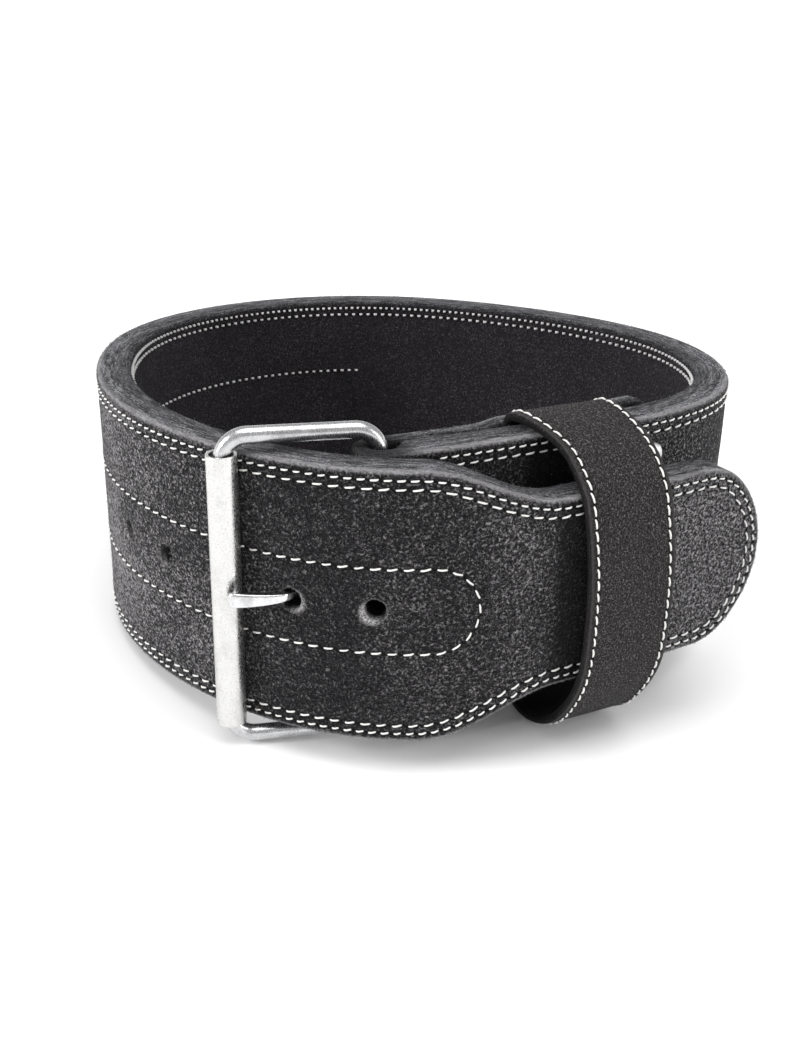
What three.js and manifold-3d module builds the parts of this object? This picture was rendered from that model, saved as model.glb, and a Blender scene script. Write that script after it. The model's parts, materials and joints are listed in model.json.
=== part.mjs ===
// Weightlifting belt, fastened: a thick suede strap wound into an oval ring, a single-prong roller
// buckle at the front and a loop that keeps the tongue down. Millimetres, +Z up.
import * as THREE from "three";
import { mergeVertices } from "three/addons/utils/BufferGeometryUtils.js";
import Module from "manifold-3d";

const wasm = await Module();
wasm.setup();

// Strap
const strapWidth = 100;
const strapThickness = 13.2;
const strapLength = 922.5; // outer face, from the buckle's pivot bar to the end of the tongue
const edgeRound = 1.6;
const foldThickness = 6.2; // the pared end that goes round the pivot bar
const flapLength = 125;
const flapCornerRound = 9;
const flapMeets = 14; // from here the flap lies on the strap
const flapOpens = 43; // from here it leaves the strap to make room for the loop
const flapOpen = 60;
const pareStart = 7.6;
const pareEnd = 15;

// Tongue
const tongueWidth = 71;
const shoulderStart = 778;
const shoulderEnd = 830;
const tipEndRadius = 40;
const tipShoulderRadius = 24;
const tongueDroop = 1.4; // past the loop the tongue hangs a little
const droopLength = 50;

// Row of holes
const holeDiameter = 7.6;
const holePitch = 29.9;
const holeCount = 9;
const lastHoleAt = 763.2;

// Buckle
const wireDiameter = 6;
const playAbove = 3; // between the strap's edges and the frame's two bars
const playBelow = 3.6;
const frameCornerRadius = 8.5;
const rollerDiameter = 10.5;
const rollerWall = 1.1;
const rollerOverBend = 2.6; // the roller reaches this far over each of the frame's bends
const rollerAt = 712;
const eyeWall = 2.3;
const eyeHeight = 9;
const eyePlay = 2;
const prongDepth = 3.9;
const prongHeight = 5.6;
const prongArch = 12.7; // how far the prong stands out from the line between its two bars

// Loop
const loopWidth = 35;
const loopThickness = 3.2;
const loopRound = 0.9;
const loopAt = 80;
const loopSpace = 5; // room for the loop between strap and flap
const loopReach = 33.1; // how far the loop stands out from the strap's outer face
const loopHang = 13; // how far it hangs below the strap

// Rivets
const rivetHeadDiameter = 9.6;
const rivetHeadHeight = 2.2;
const rivetShankDiameter = 4;
const rivetBurrDiameter = 8;
const rivetBurrHeight = 1.1;
const rivetsLeft = { at: 34, inset: 25 };
const rivetsRight = { at: 110, inset: 15 };

// Weight, grams per cubic centimetre
const leatherDensity = 0.95;
const steelDensity = 7.85;

// Fits
const slack = 0.3;
const wireFit = 0.4;
const prongFit = 0.35;
const flapGap = 0.6;
const cutPast = 3; // cutting tools reach this far past the leather
const slotPast = 4;
const slotFront = 9;
const guardBefore = 50; // length of tongue that the slot spares, before and after the last hole
const guardAfter = 40;
const guardGap = 0.1;

// How the outer face turns along the strap: place as a share of the strap's length, and the turn in
// degrees that a whole strap length would make at that rate
const outerStart = { x: -8, y: 0, heading: 16.2 };
const plan = [
  { at: 0.0000, turn: 438.2 }, { at: 0.0217, turn: 210.3 }, { at: 0.0433, turn: 27.7 },
  { at: 0.0867, turn: 25.8 }, { at: 0.1355, turn: 502.8 }, { at: 0.1680, turn: 806.3 },
  { at: 0.2060, turn: 616.2 }, { at: 0.2547, turn: 597.8 }, { at: 0.3035, turn: 334.9 },
  { at: 0.3577, turn: 239.8 }, { at: 0.4336, turn: 449.3 }, { at: 0.4986, turn: 437.3 },
  { at: 0.5420, turn: 544.3 }, { at: 0.5854, turn: 585.8 }, { at: 0.6287, turn: 321.0 },
  { at: 0.6829, turn: 404.1 }, { at: 0.7371, turn: 317.3 }, { at: 0.7859, turn: 411.4 },
  { at: 0.8293, turn: 584.9 }, { at: 0.8618, turn: 549.8 }, { at: 0.8889, turn: 328.4 },
  { at: 0.9214, turn: 36.0 }, { at: 1.0000, turn: -114.4 },
];

// Middle line of the loop. Out: share of the loop's reach in front of the strap's outer face, or of the
// way back to its place between strap and flap. Up: share of the strap's width. Past: share of the hang.
const loopLine = [
  { out: -1, up: 0.5, past: 0 }, { out: -1, up: 0.12, past: 0 }, { out: -0.98, up: 0, past: -0.23 },
  { out: -0.78, up: 0, past: -0.85 }, { out: -0.25, up: 0, past: -1 }, { out: 0.18, up: 0, past: -0.84 },
  { out: 0.48, up: 0, past: -0.38 }, { out: 0.725, up: 0.052, past: 0 }, { out: 0.895, up: 0.165, past: 0 },
  { out: 0.98, up: 0.28, past: 0 }, { out: 1, up: 0.44, past: 0 }, { out: 0.97, up: 0.605, past: 0 },
  { out: 0.89, up: 0.736, past: 0 }, { out: 0.775, up: 0.849, past: 0 }, { out: 0.56, up: 0.932, past: 0 },
  { out: 0.26, up: 0.996, past: 0 }, { out: -0.06, up: 1, past: 0.26 }, { out: -0.55, up: 1, past: 0.32 },
  { out: -0.87, up: 1, past: 0.18 }, { out: -0.99, up: 0.976, past: 0 }, { out: -1, up: 0.88, past: 0 },
];
const loopBack = strapThickness + loopSpace / 2;
const loopOut = (row) => row.out * (row.out < 0 ? loopBack : loopReach);
const loopUp = (row) => row.up * strapWidth + row.past * loopHang;

// Prong. Along: share of the way from pivot to roller. Out, deep, high: shares of its arch, depth, height.
const prongLine = [
  { along: 0.08, out: 0.047, deep: 1, high: 0.8 }, { along: 0.20, out: -0.024, deep: 1, high: 0.8 },
  { along: 0.32, out: -0.071, deep: 1, high: 0.8 }, { along: 0.44, out: -0.055, deep: 1, high: 0.77 },
  { along: 0.53, out: 0.173, deep: 0.97, high: 0.73 }, { along: 0.59, out: 0.512, deep: 0.95, high: 0.7 },
  { along: 0.65, out: 0.811, deep: 0.95, high: 0.7 }, { along: 0.75, out: 1, deep: 0.95, high: 0.76 },
  { along: 0.87, out: 0.94, deep: 0.92, high: 0.88 }, { along: 0.96, out: 0.728, deep: 0.84, high: 1 },
  { along: 1.01, out: 0.602, deep: 0.74, high: 1 },
];

const middle = strapWidth / 2;
const rad = THREE.MathUtils.degToRad;
const smooth = (a, b, v) => THREE.MathUtils.smoothstep(v, a, b);

// Steps along the outer face, one millimetre apart
const steps = walkPlan();

function walkPlan() {
  const rows = [];
  let { x, y } = outerStart;
  let heading = rad(outerStart.heading);
  for (let s = 0; s <= strapLength; s += 1) {
    rows.push({ x, y, heading });
    const turn = rad(turnAt(s + 0.5)) / strapLength;
    x += Math.cos(heading + turn / 2);
    y += Math.sin(heading + turn / 2);
    heading += turn;
  }
  rows.push({ x, y, heading });
  return rows;
}

function turnAt(s) {
  const share = Math.min(s / strapLength, 1);
  const next = Math.max(1, plan.findIndex((row) => row.at >= share));
  const [a, b] = [plan[next - 1], plan[next]];
  return THREE.MathUtils.lerp(a.turn, b.turn, (share - a.at) / (b.at - a.at));
}

// A place on the outer face: point, direction along the strap, direction out of the ring
function outerFace(s) {
  const i = Math.min(Math.floor(s), steps.length - 2);
  const f = s - i;
  const [a, b] = [steps[i], steps[i + 1]];
  const heading = THREE.MathUtils.lerp(a.heading, b.heading, f);
  return {
    point: new THREE.Vector2(THREE.MathUtils.lerp(a.x, b.x, f), THREE.MathUtils.lerp(a.y, b.y, f)),
    along: new THREE.Vector2(Math.cos(heading), Math.sin(heading)),
    out: new THREE.Vector2(Math.sin(heading), -Math.cos(heading)),
  };
}

// Buckle axes: the pivot bar inside the fold, the roller on the outer face
const pivotAt = 4;
const bendRadius = wireDiameter / 2 + wireFit + foldThickness;
const pivotFace = outerFace(pivotAt);
const pivot = pivotFace.point.clone().addScaledVector(pivotFace.out, -bendRadius);
const rollerFace = outerFace(rollerAt);
const roller = rollerFace.point.clone().addScaledVector(rollerFace.out, rollerDiameter / 2 + slack);
const toRoller = roller.clone().sub(pivot);
const frameLength = toRoller.length();
toRoller.normalize();
const frameOut = new THREE.Vector2(-toRoller.y, toRoller.x);
const frameHeight = strapWidth + playAbove + playBelow + wireDiameter; // bar centre to bar centre
const frameMiddle = middle + (playAbove - playBelow) / 2;
const rollerLength = frameHeight - 2 * (frameCornerRadius - rollerOverBend);

// Distance from the outer face to the waist side of the flap
function flapDepth(s) {
  const space = THREE.MathUtils.lerp(flapGap, loopSpace, smooth(flapOpens, flapOpen, s));
  const far = strapThickness + space + foldThickness;
  return THREE.MathUtils.lerp(2 * bendRadius, far, smooth(pivotAt, flapMeets, s));
}

const droopAt = (s) => tongueDroop * smooth(shoulderEnd, shoulderEnd + droopLength, s);

// The strap's grain side from the end of the flap, round the pivot bar and on to the tongue:
// every row has its place, its length so far, the direction into the leather and the thickness
const grainSide = layGrainSide();

function layGrainSide() {
  const rows = [];
  const add = (point, inward, thickness) => {
    const last = rows.at(-1);
    const length = last ? last.length + last.point.distanceTo(point) : 0;
    rows.push({ point, inward: inward.normalize(), thickness, length });
  };
  for (let s = pivotAt + flapLength; s > pivotAt + 0.5; s -= 1) {
    const face = outerFace(s);
    add(face.point.clone().addScaledVector(face.out, -flapDepth(s)), face.out.clone(), foldThickness);
  }
  const bendSteps = 24;
  for (let i = 0; i < bendSteps; i += 1) {
    const turn = (Math.PI * i) / bendSteps;
    const away = pivotFace.out.clone().rotateAround(new THREE.Vector2(), -(Math.PI - turn));
    add(pivot.clone().addScaledVector(away, bendRadius), away.clone().negate(), foldThickness);
  }
  const mainStart = rows.length;
  for (let s = pivotAt; s <= strapLength; s += 0.5) {
    const face = outerFace(s);
    const grown = smooth(pareStart, pareEnd, s);
    const thickness = THREE.MathUtils.lerp(foldThickness, strapThickness, grown);
    add(face.point, face.out.clone().negate(), thickness);
  }
  rows.mainStart = rows[mainStart].length;
  return rows;
}

const ribbonLength = grainSide.at(-1).length;
const ribbonAt = (s) => grainSide.mainStart + (s - pivotAt);
const faceAt = (length) => length - grainSide.mainStart + pivotAt;

function onRibbon(length) {
  let low = 0;
  let high = grainSide.length - 1;
  while (high - low > 1) {
    const half = (low + high) >> 1;
    if (grainSide[half].length > length) high = half;
    else low = half;
  }
  const [a, b] = [grainSide[low], grainSide[high]];
  const f = (length - a.length) / (b.length - a.length);
  return {
    point: a.point.clone().lerp(b.point, f),
    inward: a.inward.clone().lerp(b.inward, THREE.MathUtils.clamp(f, 0, 1)).normalize(),
    thickness: THREE.MathUtils.lerp(a.thickness, b.thickness, THREE.MathUtils.clamp(f, 0, 1)),
  };
}

// Upper half of the strap's outline, laid flat: distance along, half width and the way out of it
function upperOutline() {
  const rows = [];
  const half = strapWidth / 2;
  const narrow = tongueWidth / 2;
  const push = (along, rise, outAlong, outRise) => rows.push({ along, rise, outAlong, outRise });
  for (let i = 0; i <= 4; i += 1) {
    const a = (Math.PI / 2) * (i / 4);
    const r = flapCornerRound;
    push(r * (1 - Math.cos(a)), half - r * (1 - Math.sin(a)), -Math.cos(a), Math.sin(a));
  }
  const fold = ribbonAt(pivotAt);
  const bendStart = fold - Math.PI * bendRadius;
  spread(flapCornerRound, bendStart, 12).slice(1).forEach((v) => push(v, half, 0, 1));
  spread(bendStart, fold, 3.4).slice(1).forEach((v) => push(v, half, 0, 1));
  spread(fold, ribbonAt(24), 2.5).slice(1).forEach((v) => push(v, half, 0, 1));
  spread(ribbonAt(24), ribbonAt(shoulderStart), 6.5).slice(1).forEach((v) => push(v, half, 0, 1));
  const shoulder = spread(ribbonAt(shoulderStart), ribbonAt(shoulderEnd), 4.4).slice(1);
  const drop = half - narrow;
  const run = shoulderEnd - shoulderStart;
  for (const v of shoulder) {
    const a = (Math.PI * (v - ribbonAt(shoulderStart))) / run;
    const slope = (-drop * Math.PI * Math.sin(a)) / (2 * run);
    const size = Math.hypot(1, slope);
    push(v, half - (drop * (1 - Math.cos(a))) / 2, -slope / size, 1 / size);
  }
  const end = ribbonAt(strapLength) - 0.5;
  const between = tipEndRadius - tipShoulderRadius;
  const rise = narrow - tipShoulderRadius;
  const shoulderCentre = end - tipEndRadius + Math.sqrt(between ** 2 - rise ** 2);
  spread(ribbonAt(shoulderEnd), shoulderCentre, 7).slice(1).forEach((v) => push(v, narrow, 0, 1));
  const meet = Math.asin(rise / between);
  for (let i = 1; i <= 7; i += 1) {
    const a = THREE.MathUtils.lerp(Math.PI / 2, meet, i / 7);
    const [c, s] = [Math.cos(a), Math.sin(a)];
    push(shoulderCentre + tipShoulderRadius * c, rise + tipShoulderRadius * s, c, s);
  }
  for (let i = 1; i <= 7; i += 1) {
    const a = THREE.MathUtils.lerp(meet, 0.05, i / 7);
    const [c, s] = [Math.cos(a), Math.sin(a)];
    push(end - tipEndRadius * (1 - c), tipEndRadius * s, c, s);
  }
  return rows;
}

function spread(from, to, step) {
  const count = Math.max(1, Math.ceil((to - from) / step));
  return Array.from({ length: count + 1 }, (_, i) => THREE.MathUtils.lerp(from, to, i / count));
}

function buildStrap() {
  const outline = upperOutline();
  const rings = [];
  const roundSteps = 2;
  const rows = [...outline.map((r) => ({ ...r, side: 1 })),
    ...outline.toReversed().map((r) => ({ ...r, side: -1 }))];
  for (let side = 0; side < 2; side += 1) {
    for (let i = 0; i <= roundSteps; i += 1) {
      const a = (Math.PI / 2) * (side ? 1 - i / roundSteps : i / roundSteps);
      rings.push(rows.map((row) => {
        const { thickness } = onRibbon(row.along);
        const round = Math.min(edgeRound, thickness * 0.36);
        const inset = round * (1 - Math.sin(a));
        const depth = side ? thickness - round * (1 - Math.cos(a)) : round * (1 - Math.cos(a));
        const place = onRibbon(row.along - inset * row.outAlong);
        const p = place.point.addScaledVector(place.inward, depth);
        const rise = row.side * (row.rise - inset * row.outRise);
        return new THREE.Vector3(p.x, p.y, middle + rise - droopAt(faceAt(row.along)));
      }));
    }
  }
  return solidFromRings(rings, outline.length);
}

// Closed rings stacked from one face to the other, each face filled across its short way
function solidFromRings(rings, half) {
  const count = rings[0].length;
  const positions = rings.flat().flatMap((v) => [v.x, v.y, v.z]);
  const index = [];
  for (let r = 0; r < rings.length - 1; r += 1) {
    for (let i = 0; i < count; i += 1) {
      const j = (i + 1) % count;
      const [a, b, c, d] = [r * count + i, r * count + j, (r + 1) * count + i, (r + 1) * count + j];
      index.push(a, b, d, a, d, c);
    }
  }
  const last = (rings.length - 1) * count;
  for (let i = 0; i < half - 1; i += 1) {
    const [a, b, c, d] = [i, i + 1, count - 1 - i, count - 2 - i];
    index.push(a, c, d, a, d, b);
    index.push(last + a, last + d, last + c, last + a, last + b, last + d);
  }
  return outward(positions, index);
}

// A row of equal sections joined into a solid; an open row is closed by a cap at each end
function solidFromSections(sections, closed) {
  const count = sections[0].length;
  const positions = sections.flat().flatMap((v) => [v.x, v.y, v.z]);
  const index = [];
  const rows = closed ? sections.length : sections.length - 1;
  for (let r = 0; r < rows; r += 1) {
    const next = (r + 1) % sections.length;
    for (let i = 0; i < count; i += 1) {
      const j = (i + 1) % count;
      const [a, b, c, d] = [r * count + i, r * count + j, next * count + i, next * count + j];
      index.push(a, b, d, a, d, c);
    }
  }
  if (!closed) {
    const last = (sections.length - 1) * count;
    for (let i = 1; i < count - 1; i += 1) {
      index.push(0, i + 1, i, last, last + i, last + i + 1);
    }
  }
  return outward(positions, index);
}

function outward(positions, index) {
  const v = (i) => new THREE.Vector3().fromArray(positions, 3 * i);
  let volume = 0;
  for (let i = 0; i < index.length; i += 3) {
    volume += v(index[i]).dot(v(index[i + 1]).cross(v(index[i + 2])));
  }
  const geometry = new THREE.BufferGeometry();
  geometry.setAttribute("position", new THREE.Float32BufferAttribute(positions, 3));
  geometry.setIndex(volume < 0 ? index.toReversed() : index);
  return geometry;
}

// Section of a round bar, or of a flat bar with rounded corners
function ovalSection(centre, sideways, upwards, wide, high, corner, perCorner) {
  const points = [];
  const quarter = [[1, 1], [-1, 1], [-1, -1], [1, -1]];
  quarter.forEach(([sx, sy], q) => {
    for (let i = 0; i <= perCorner; i += 1) {
      const a = (Math.PI / 2) * (q + i / perCorner);
      const x = sx * (wide / 2 - corner) + corner * Math.cos(a);
      const y = sy * (high / 2 - corner) + corner * Math.sin(a);
      points.push(centre.clone().addScaledVector(sideways, x).addScaledVector(upwards, y));
    }
  });
  return points;
}

const roundSection = (centre, sideways, upwards, radius, count) =>
  Array.from({ length: count }, (_, i) => {
    const a = (2 * Math.PI * i) / count;
    return centre.clone().addScaledVector(sideways, radius * Math.cos(a))
      .addScaledVector(upwards, radius * Math.sin(a));
  });

const lift = (v, z) => new THREE.Vector3(v.x, v.y, z);
const up = new THREE.Vector3(0, 0, 1);

function manifoldOf(geometry) {
  const bare = geometry.clone();
  bare.deleteAttribute("normal");
  bare.deleteAttribute("uv");
  const merged = mergeVertices(bare, 1e-4);
  return new wasm.Manifold(new wasm.Mesh({
    numProp: 3,
    vertProperties: new Float32Array(merged.attributes.position.array),
    triVerts: new Uint32Array(merged.index.array),
  }));
}

function geometryOf(solid) {
  const mesh = solid.getMesh();
  const geometry = new THREE.BufferGeometry();
  geometry.setAttribute("position", new THREE.BufferAttribute(mesh.vertProperties, 3));
  geometry.setIndex(new THREE.BufferAttribute(mesh.triVerts, 1));
  return geometry;
}

// A cylinder lying along a flat direction, its middle at the given place
function pin(centre, direction, diameter, length, sides) {
  const geometry = new THREE.CylinderGeometry(diameter / 2, diameter / 2, length, sides);
  geometry.applyQuaternion(new THREE.Quaternion().setFromUnitVectors(
    new THREE.Vector3(0, 1, 0), lift(direction, 0)));
  return geometry.translate(centre.x, centre.y, centre.z);
}

function prongSections(grow) {
  const rows = prongLine.map((row) => ({
    at: pivot.clone().addScaledVector(toRoller, row.along * frameLength)
      .addScaledVector(frameOut, row.out * prongArch),
    row,
  }));
  const curve = new THREE.CatmullRomCurve3(rows.map(({ at }) => lift(at, middle)), false, "centripetal");
  const sections = [];
  const perRow = 2;
  const last = (rows.length - 1) * perRow;
  for (let i = 0; i <= last; i += 1) {
    const t = i / last;
    const a = rows[Math.min(Math.floor(i / perRow), rows.length - 2)].row;
    const b = rows[Math.min(Math.floor(i / perRow) + 1, rows.length - 1)].row;
    const f = i / perRow - Math.min(Math.floor(i / perRow), rows.length - 2);
    const sideways = curve.getTangent(t).cross(up).normalize();
    const deep = THREE.MathUtils.lerp(a.deep, b.deep, f) * prongDepth + 2 * grow;
    const high = THREE.MathUtils.lerp(a.high, b.high, f) * prongHeight + 2 * grow;
    const end = i === 0 || i === last ? 0.8 : 1;
    const corner = (deep / 2) * end * 0.72;
    sections.push(ovalSection(curve.getPoint(t), sideways, up, deep * end, high * end, corner, 2));
  }
  return sections;
}

function buildProng() {
  const inner = wireDiameter / 2 + wireFit - 0.1;
  const outer = inner + eyeWall;
  const high = eyeHeight / 2;
  const ring = [[inner, -high], [outer, -high], [outer, high], [inner, high], [inner, -high]];
  const eye = new THREE.LatheGeometry(ring.map(([r, z]) => new THREE.Vector2(r, z)), 20);
  eye.rotateX(Math.PI / 2).translate(pivot.x, pivot.y, middle);
  const bore = new THREE.CylinderGeometry(inner, inner, eyeHeight, 20);
  bore.rotateX(Math.PI / 2).translate(pivot.x, pivot.y, middle);
  const bar = manifoldOf(solidFromSections(prongSections(0), false));
  return geometryOf(manifoldOf(eye).add(bar.subtract(manifoldOf(bore))));
}

function buildFrame() {
  const [wide, high, corner] = [frameLength / 2, frameHeight / 2, frameCornerRadius];
  const centre = pivot.clone().add(roller).multiplyScalar(0.5);
  const sections = [];
  [[1, 1], [-1, 1], [-1, -1], [1, -1]].forEach(([sx, sz], q) => {
    for (let i = 0; i <= 6; i += 1) {
      const a = (Math.PI / 2) * (q + i / 6);
      const across = sx * (wide - corner) + corner * Math.cos(a);
      const rise = sz * (high - corner) + corner * Math.sin(a);
      const away = lift(toRoller.clone().multiplyScalar(Math.cos(a)), Math.sin(a));
      const at = lift(centre.clone().addScaledVector(toRoller, across), frameMiddle + rise);
      sections.push(roundSection(at, away, lift(frameOut, 0), wireDiameter / 2, 12));
    }
  });
  return solidFromSections(sections, true);
}

function buildRoller() {
  const [outer, half, ease] = [rollerDiameter / 2, rollerLength / 2, 0.35];
  const inner = outer - rollerWall;
  const profile = [
    [inner, -half + ease], [inner + ease, -half], [outer - ease, -half], [outer, -half + ease],
    [outer, half - ease], [outer - ease, half], [inner + ease, half], [inner, half - ease],
    [inner, -half + ease],
  ].map(([r, z]) => new THREE.Vector2(r, z));
  return new THREE.LatheGeometry(profile, 28).rotateX(Math.PI / 2)
    .translate(roller.x, roller.y, frameMiddle);
}

function buildLoop() {
  const face = outerFace(loopAt);
  const line = loopLine.map((row) =>
    lift(face.point.clone().addScaledVector(face.out, loopOut(row)), loopUp(row)));
  const curve = new THREE.CatmullRomCurve3(line, true, "centripetal");
  const along = lift(face.along, 0);
  const sections = [];
  const count = 52;
  for (let i = 0; i < count; i += 1) {
    const t = i / count;
    const across = curve.getTangentAt(t).cross(along).normalize();
    sections.push(ovalSection(curve.getPointAt(t), along, across, loopWidth, loopThickness, loopRound, 2));
  }
  return solidFromSections(sections, true);
}

function buildRivet(at, z) {
  const face = outerFace(at);
  const grip = flapDepth(at);
  const [head, shank, burr] = [rivetHeadDiameter / 2, rivetShankDiameter / 2, rivetBurrDiameter / 2];
  const profile = [[0, slack + rivetHeadHeight]];
  for (let i = 1; i <= 4; i += 1) {
    const a = (Math.PI / 2) * (i / 4);
    profile.push([head * Math.sin(a), slack + 0.4 + (rivetHeadHeight - 0.4) * Math.cos(a)]);
  }
  const burrFace = -grip - 2 * slack;
  profile.push([head, slack], [shank, slack], [shank, burrFace], [burr, burrFace],
    [burr, burrFace - rivetBurrHeight], [0, burrFace - rivetBurrHeight - 0.5]);
  const points = profile.map(([r, y]) => new THREE.Vector2(r, y)).reverse();
  const geometry = new THREE.LatheGeometry(points, 14);
  geometry.applyQuaternion(new THREE.Quaternion().setFromUnitVectors(
    new THREE.Vector3(0, 1, 0), lift(face.out, 0)));
  return geometry.translate(face.point.x, face.point.y, z);
}

const rivetPlaces = [
  { name: "rivet_upper_left", at: rivetsLeft.at, z: strapWidth - rivetsLeft.inset },
  { name: "rivet_lower_left", at: rivetsLeft.at, z: rivetsLeft.inset },
  { name: "rivet_upper_right", at: rivetsRight.at, z: strapWidth - rivetsRight.inset },
  { name: "rivet_lower_right", at: rivetsRight.at, z: rivetsRight.inset },
];

// The strap with its holes, the slot for the prong's eye and the way that the prong presses through
function cutStrap() {
  let strap = manifoldOf(buildStrap());
  for (let i = 0; i < holeCount; i += 1) {
    const face = outerFace(lastHoleAt - i * holePitch);
    const at = lift(face.point.clone().addScaledVector(face.out, -strapThickness / 2), middle);
    strap = strap.subtract(manifoldOf(pin(at, face.out, holeDiameter, strapThickness + 2 * cutPast, 16)));
  }
  for (const { at, z } of rivetPlaces) {
    const face = outerFace(at);
    const centre = lift(face.point.clone().addScaledVector(face.out, -flapDepth(at) / 2), z);
    const hole = pin(centre, face.out, rivetShankDiameter + 2 * slack, flapDepth(at) + 2 * cutPast, 12);
    strap = strap.subtract(manifoldOf(hole));
  }
  const slotBack = bendRadius + slotPast;
  const slotDeep = 2 * (bendRadius + cutPast);
  const slot = new THREE.BoxGeometry(slotBack + slotFront, slotDeep, eyeHeight + 2 * eyePlay);
  slot.translate((slotFront - slotBack) / 2, 0, 0)
    .rotateZ(Math.atan2(pivotFace.along.y, pivotFace.along.x))
    .translate(pivot.x, pivot.y, middle);
  const nearTongue = manifoldOf(slot).subtract(tongueGuard());
  strap = strap.subtract(nearTongue);
  return geometryOf(strap.subtract(manifoldOf(solidFromSections(prongSections(prongFit), false))));
}

// The tongue runs close past the pivot bar, so the slot leaves it whole
function tongueGuard() {
  const rows = [];
  for (const s of spread(lastHoleAt - guardBefore, lastHoleAt + guardAfter, 5)) {
    const face = outerFace(s);
    const at = face.point.clone().addScaledVector(face.out, -strapThickness / 2);
    rows.push(ovalSection(lift(at, middle), lift(face.out, 0), up,
      strapThickness + 2 * guardGap, strapWidth, edgeRound, 1));
  }
  return manifoldOf(solidFromSections(rows, false));
}

function paint(name, geometry, colour, roughness, metalness) {
  const material = new THREE.MeshStandardMaterial({ color: colour, roughness, metalness });
  const mesh = new THREE.Mesh(geometry, material);
  mesh.name = name;
  return mesh;
}

// The belt stands on the loop's foot or the buckle's lower bar and on the strap's lower edge across the
// ring, at the place where its weight lies lowest
function standingDirection(meshes) {
  const loopFace = outerFace(loopAt);
  const lowest = loopLine.reduce((a, b) => (loopUp(b) < loopUp(a) ? b : a));
  const loopFoot = lift(loopFace.point.clone().addScaledVector(loopFace.out, loopOut(lowest)),
    loopUp(lowest) - loopThickness / 2);
  const barFoot = lift(pivot.clone().addScaledVector(toRoller, frameLength - frameCornerRadius),
    frameMiddle - frameHeight / 2 - wireDiameter / 2);
  const feet = [loopFoot, barFoot];
  const weight = weightCentre(meshes);
  let best = null;
  for (const s of spread(flapLength, rollerAt, 2)) {
    const face = outerFace(s);
    const edge = lift(face.point.clone().addScaledVector(face.out, -edgeRound), 0);
    for (const foot of feet) {
      const normal = foot.clone().sub(edge).cross(lift(face.along, 0)).normalize();
      if (normal.z < 0) normal.negate();
      const clear = feet.every((other) => other.clone().sub(edge).dot(normal) > -0.01);
      const height = weight.clone().sub(edge).dot(normal);
      if (clear && (!best || height < best.height)) best = { height, normal };
    }
  }
  return best.normal;
}

function weightCentre(meshes) {
  const sum = new THREE.Vector3();
  let weight = 0;
  for (const { geometry, material } of meshes) {
    const density = material.metalness ? steelDensity : leatherDensity;
    const corner = (i) => new THREE.Vector3().fromBufferAttribute(geometry.attributes.position, i);
    const index = geometry.index.array;
    for (let i = 0; i < index.length; i += 3) {
      const [a, b, c] = [corner(index[i]), corner(index[i + 1]), corner(index[i + 2])];
      const share = (density * a.dot(b.clone().cross(c))) / 6;
      sum.addScaledVector(a.add(b).add(c), share / 4);
      weight += share;
    }
  }
  return sum.divideScalar(weight);
}

const belt = new THREE.Group();
belt.add(paint("strap", cutStrap(), 0x2e2c2f, 0.95, 0));
belt.add(paint("keeper_loop", buildLoop(), 0x2a282b, 0.95, 0));
belt.add(paint("buckle_frame", buildFrame(), 0xc9cbcd, 0.3, 1));
belt.add(paint("roller", buildRoller(), 0xd8d8d8, 0.38, 1));
belt.add(paint("prong", buildProng(), 0xc4c5c7, 0.32, 1));
for (const { name, at, z } of rivetPlaces) {
  belt.add(paint(name, buildRivet(at, z), 0xbfbfc2, 0.3, 1));
}

belt.quaternion.setFromUnitVectors(standingDirection(belt.children), up);
belt.updateMatrixWorld(true);
const box = new THREE.Box3().setFromObject(belt, true);
const centre = box.getCenter(new THREE.Vector3());
belt.position.set(-centre.x, -centre.y, -box.min.z);

const part = new THREE.Group();
part.add(belt);

export default part;
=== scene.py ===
"""Looks of a fastened weightlifting belt: napped suede strap, roller buckle, suede loop, white stitching.

The belt is worked out laid flat, in millimetres: "along" from the end of the flap to the tip of the
tongue, "rise" up from the middle of the strap, "depth" into the leather from the grain side.
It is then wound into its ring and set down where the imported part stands.
"""
import json
import math

import bmesh
import bpy
import numpy as np
from mathutils import Matrix, Vector, kdtree, noise


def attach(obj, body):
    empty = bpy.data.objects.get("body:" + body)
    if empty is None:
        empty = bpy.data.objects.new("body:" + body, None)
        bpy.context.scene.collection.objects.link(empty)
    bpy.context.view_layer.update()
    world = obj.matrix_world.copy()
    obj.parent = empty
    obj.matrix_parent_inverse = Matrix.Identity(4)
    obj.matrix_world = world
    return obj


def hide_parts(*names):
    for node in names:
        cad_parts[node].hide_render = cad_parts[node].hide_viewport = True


# Strap, mm
WIDTH, THICKNESS, LENGTH = 100.0, 13.2, 922.5
EDGE_ROUND = 1.6
FOLD_THICKNESS, FLAP_LENGTH, FLAP_CORNER = 6.2, 125.0, 9.0
FLAP_MEETS, FLAP_OPENS, FLAP_OPEN, FLAP_GAP, LOOP_SPACE = 14.0, 43.0, 60.0, 0.6, 5.0
PARE_START, PARE_END = 7.6, 15.0

# Tongue, mm
TONGUE_WIDTH, SHOULDER_START, SHOULDER_END = 71.0, 778.0, 830.0
TIP_END_RADIUS, TIP_SHOULDER_RADIUS = 40.0, 24.0
TONGUE_DROOP, DROOP_LENGTH = 1.4, 50.0

# Row of holes, mm
HOLE_DIAMETER, HOLE_PITCH, HOLE_COUNT, LAST_HOLE = 7.6, 29.9, 9, 763.2

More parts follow.
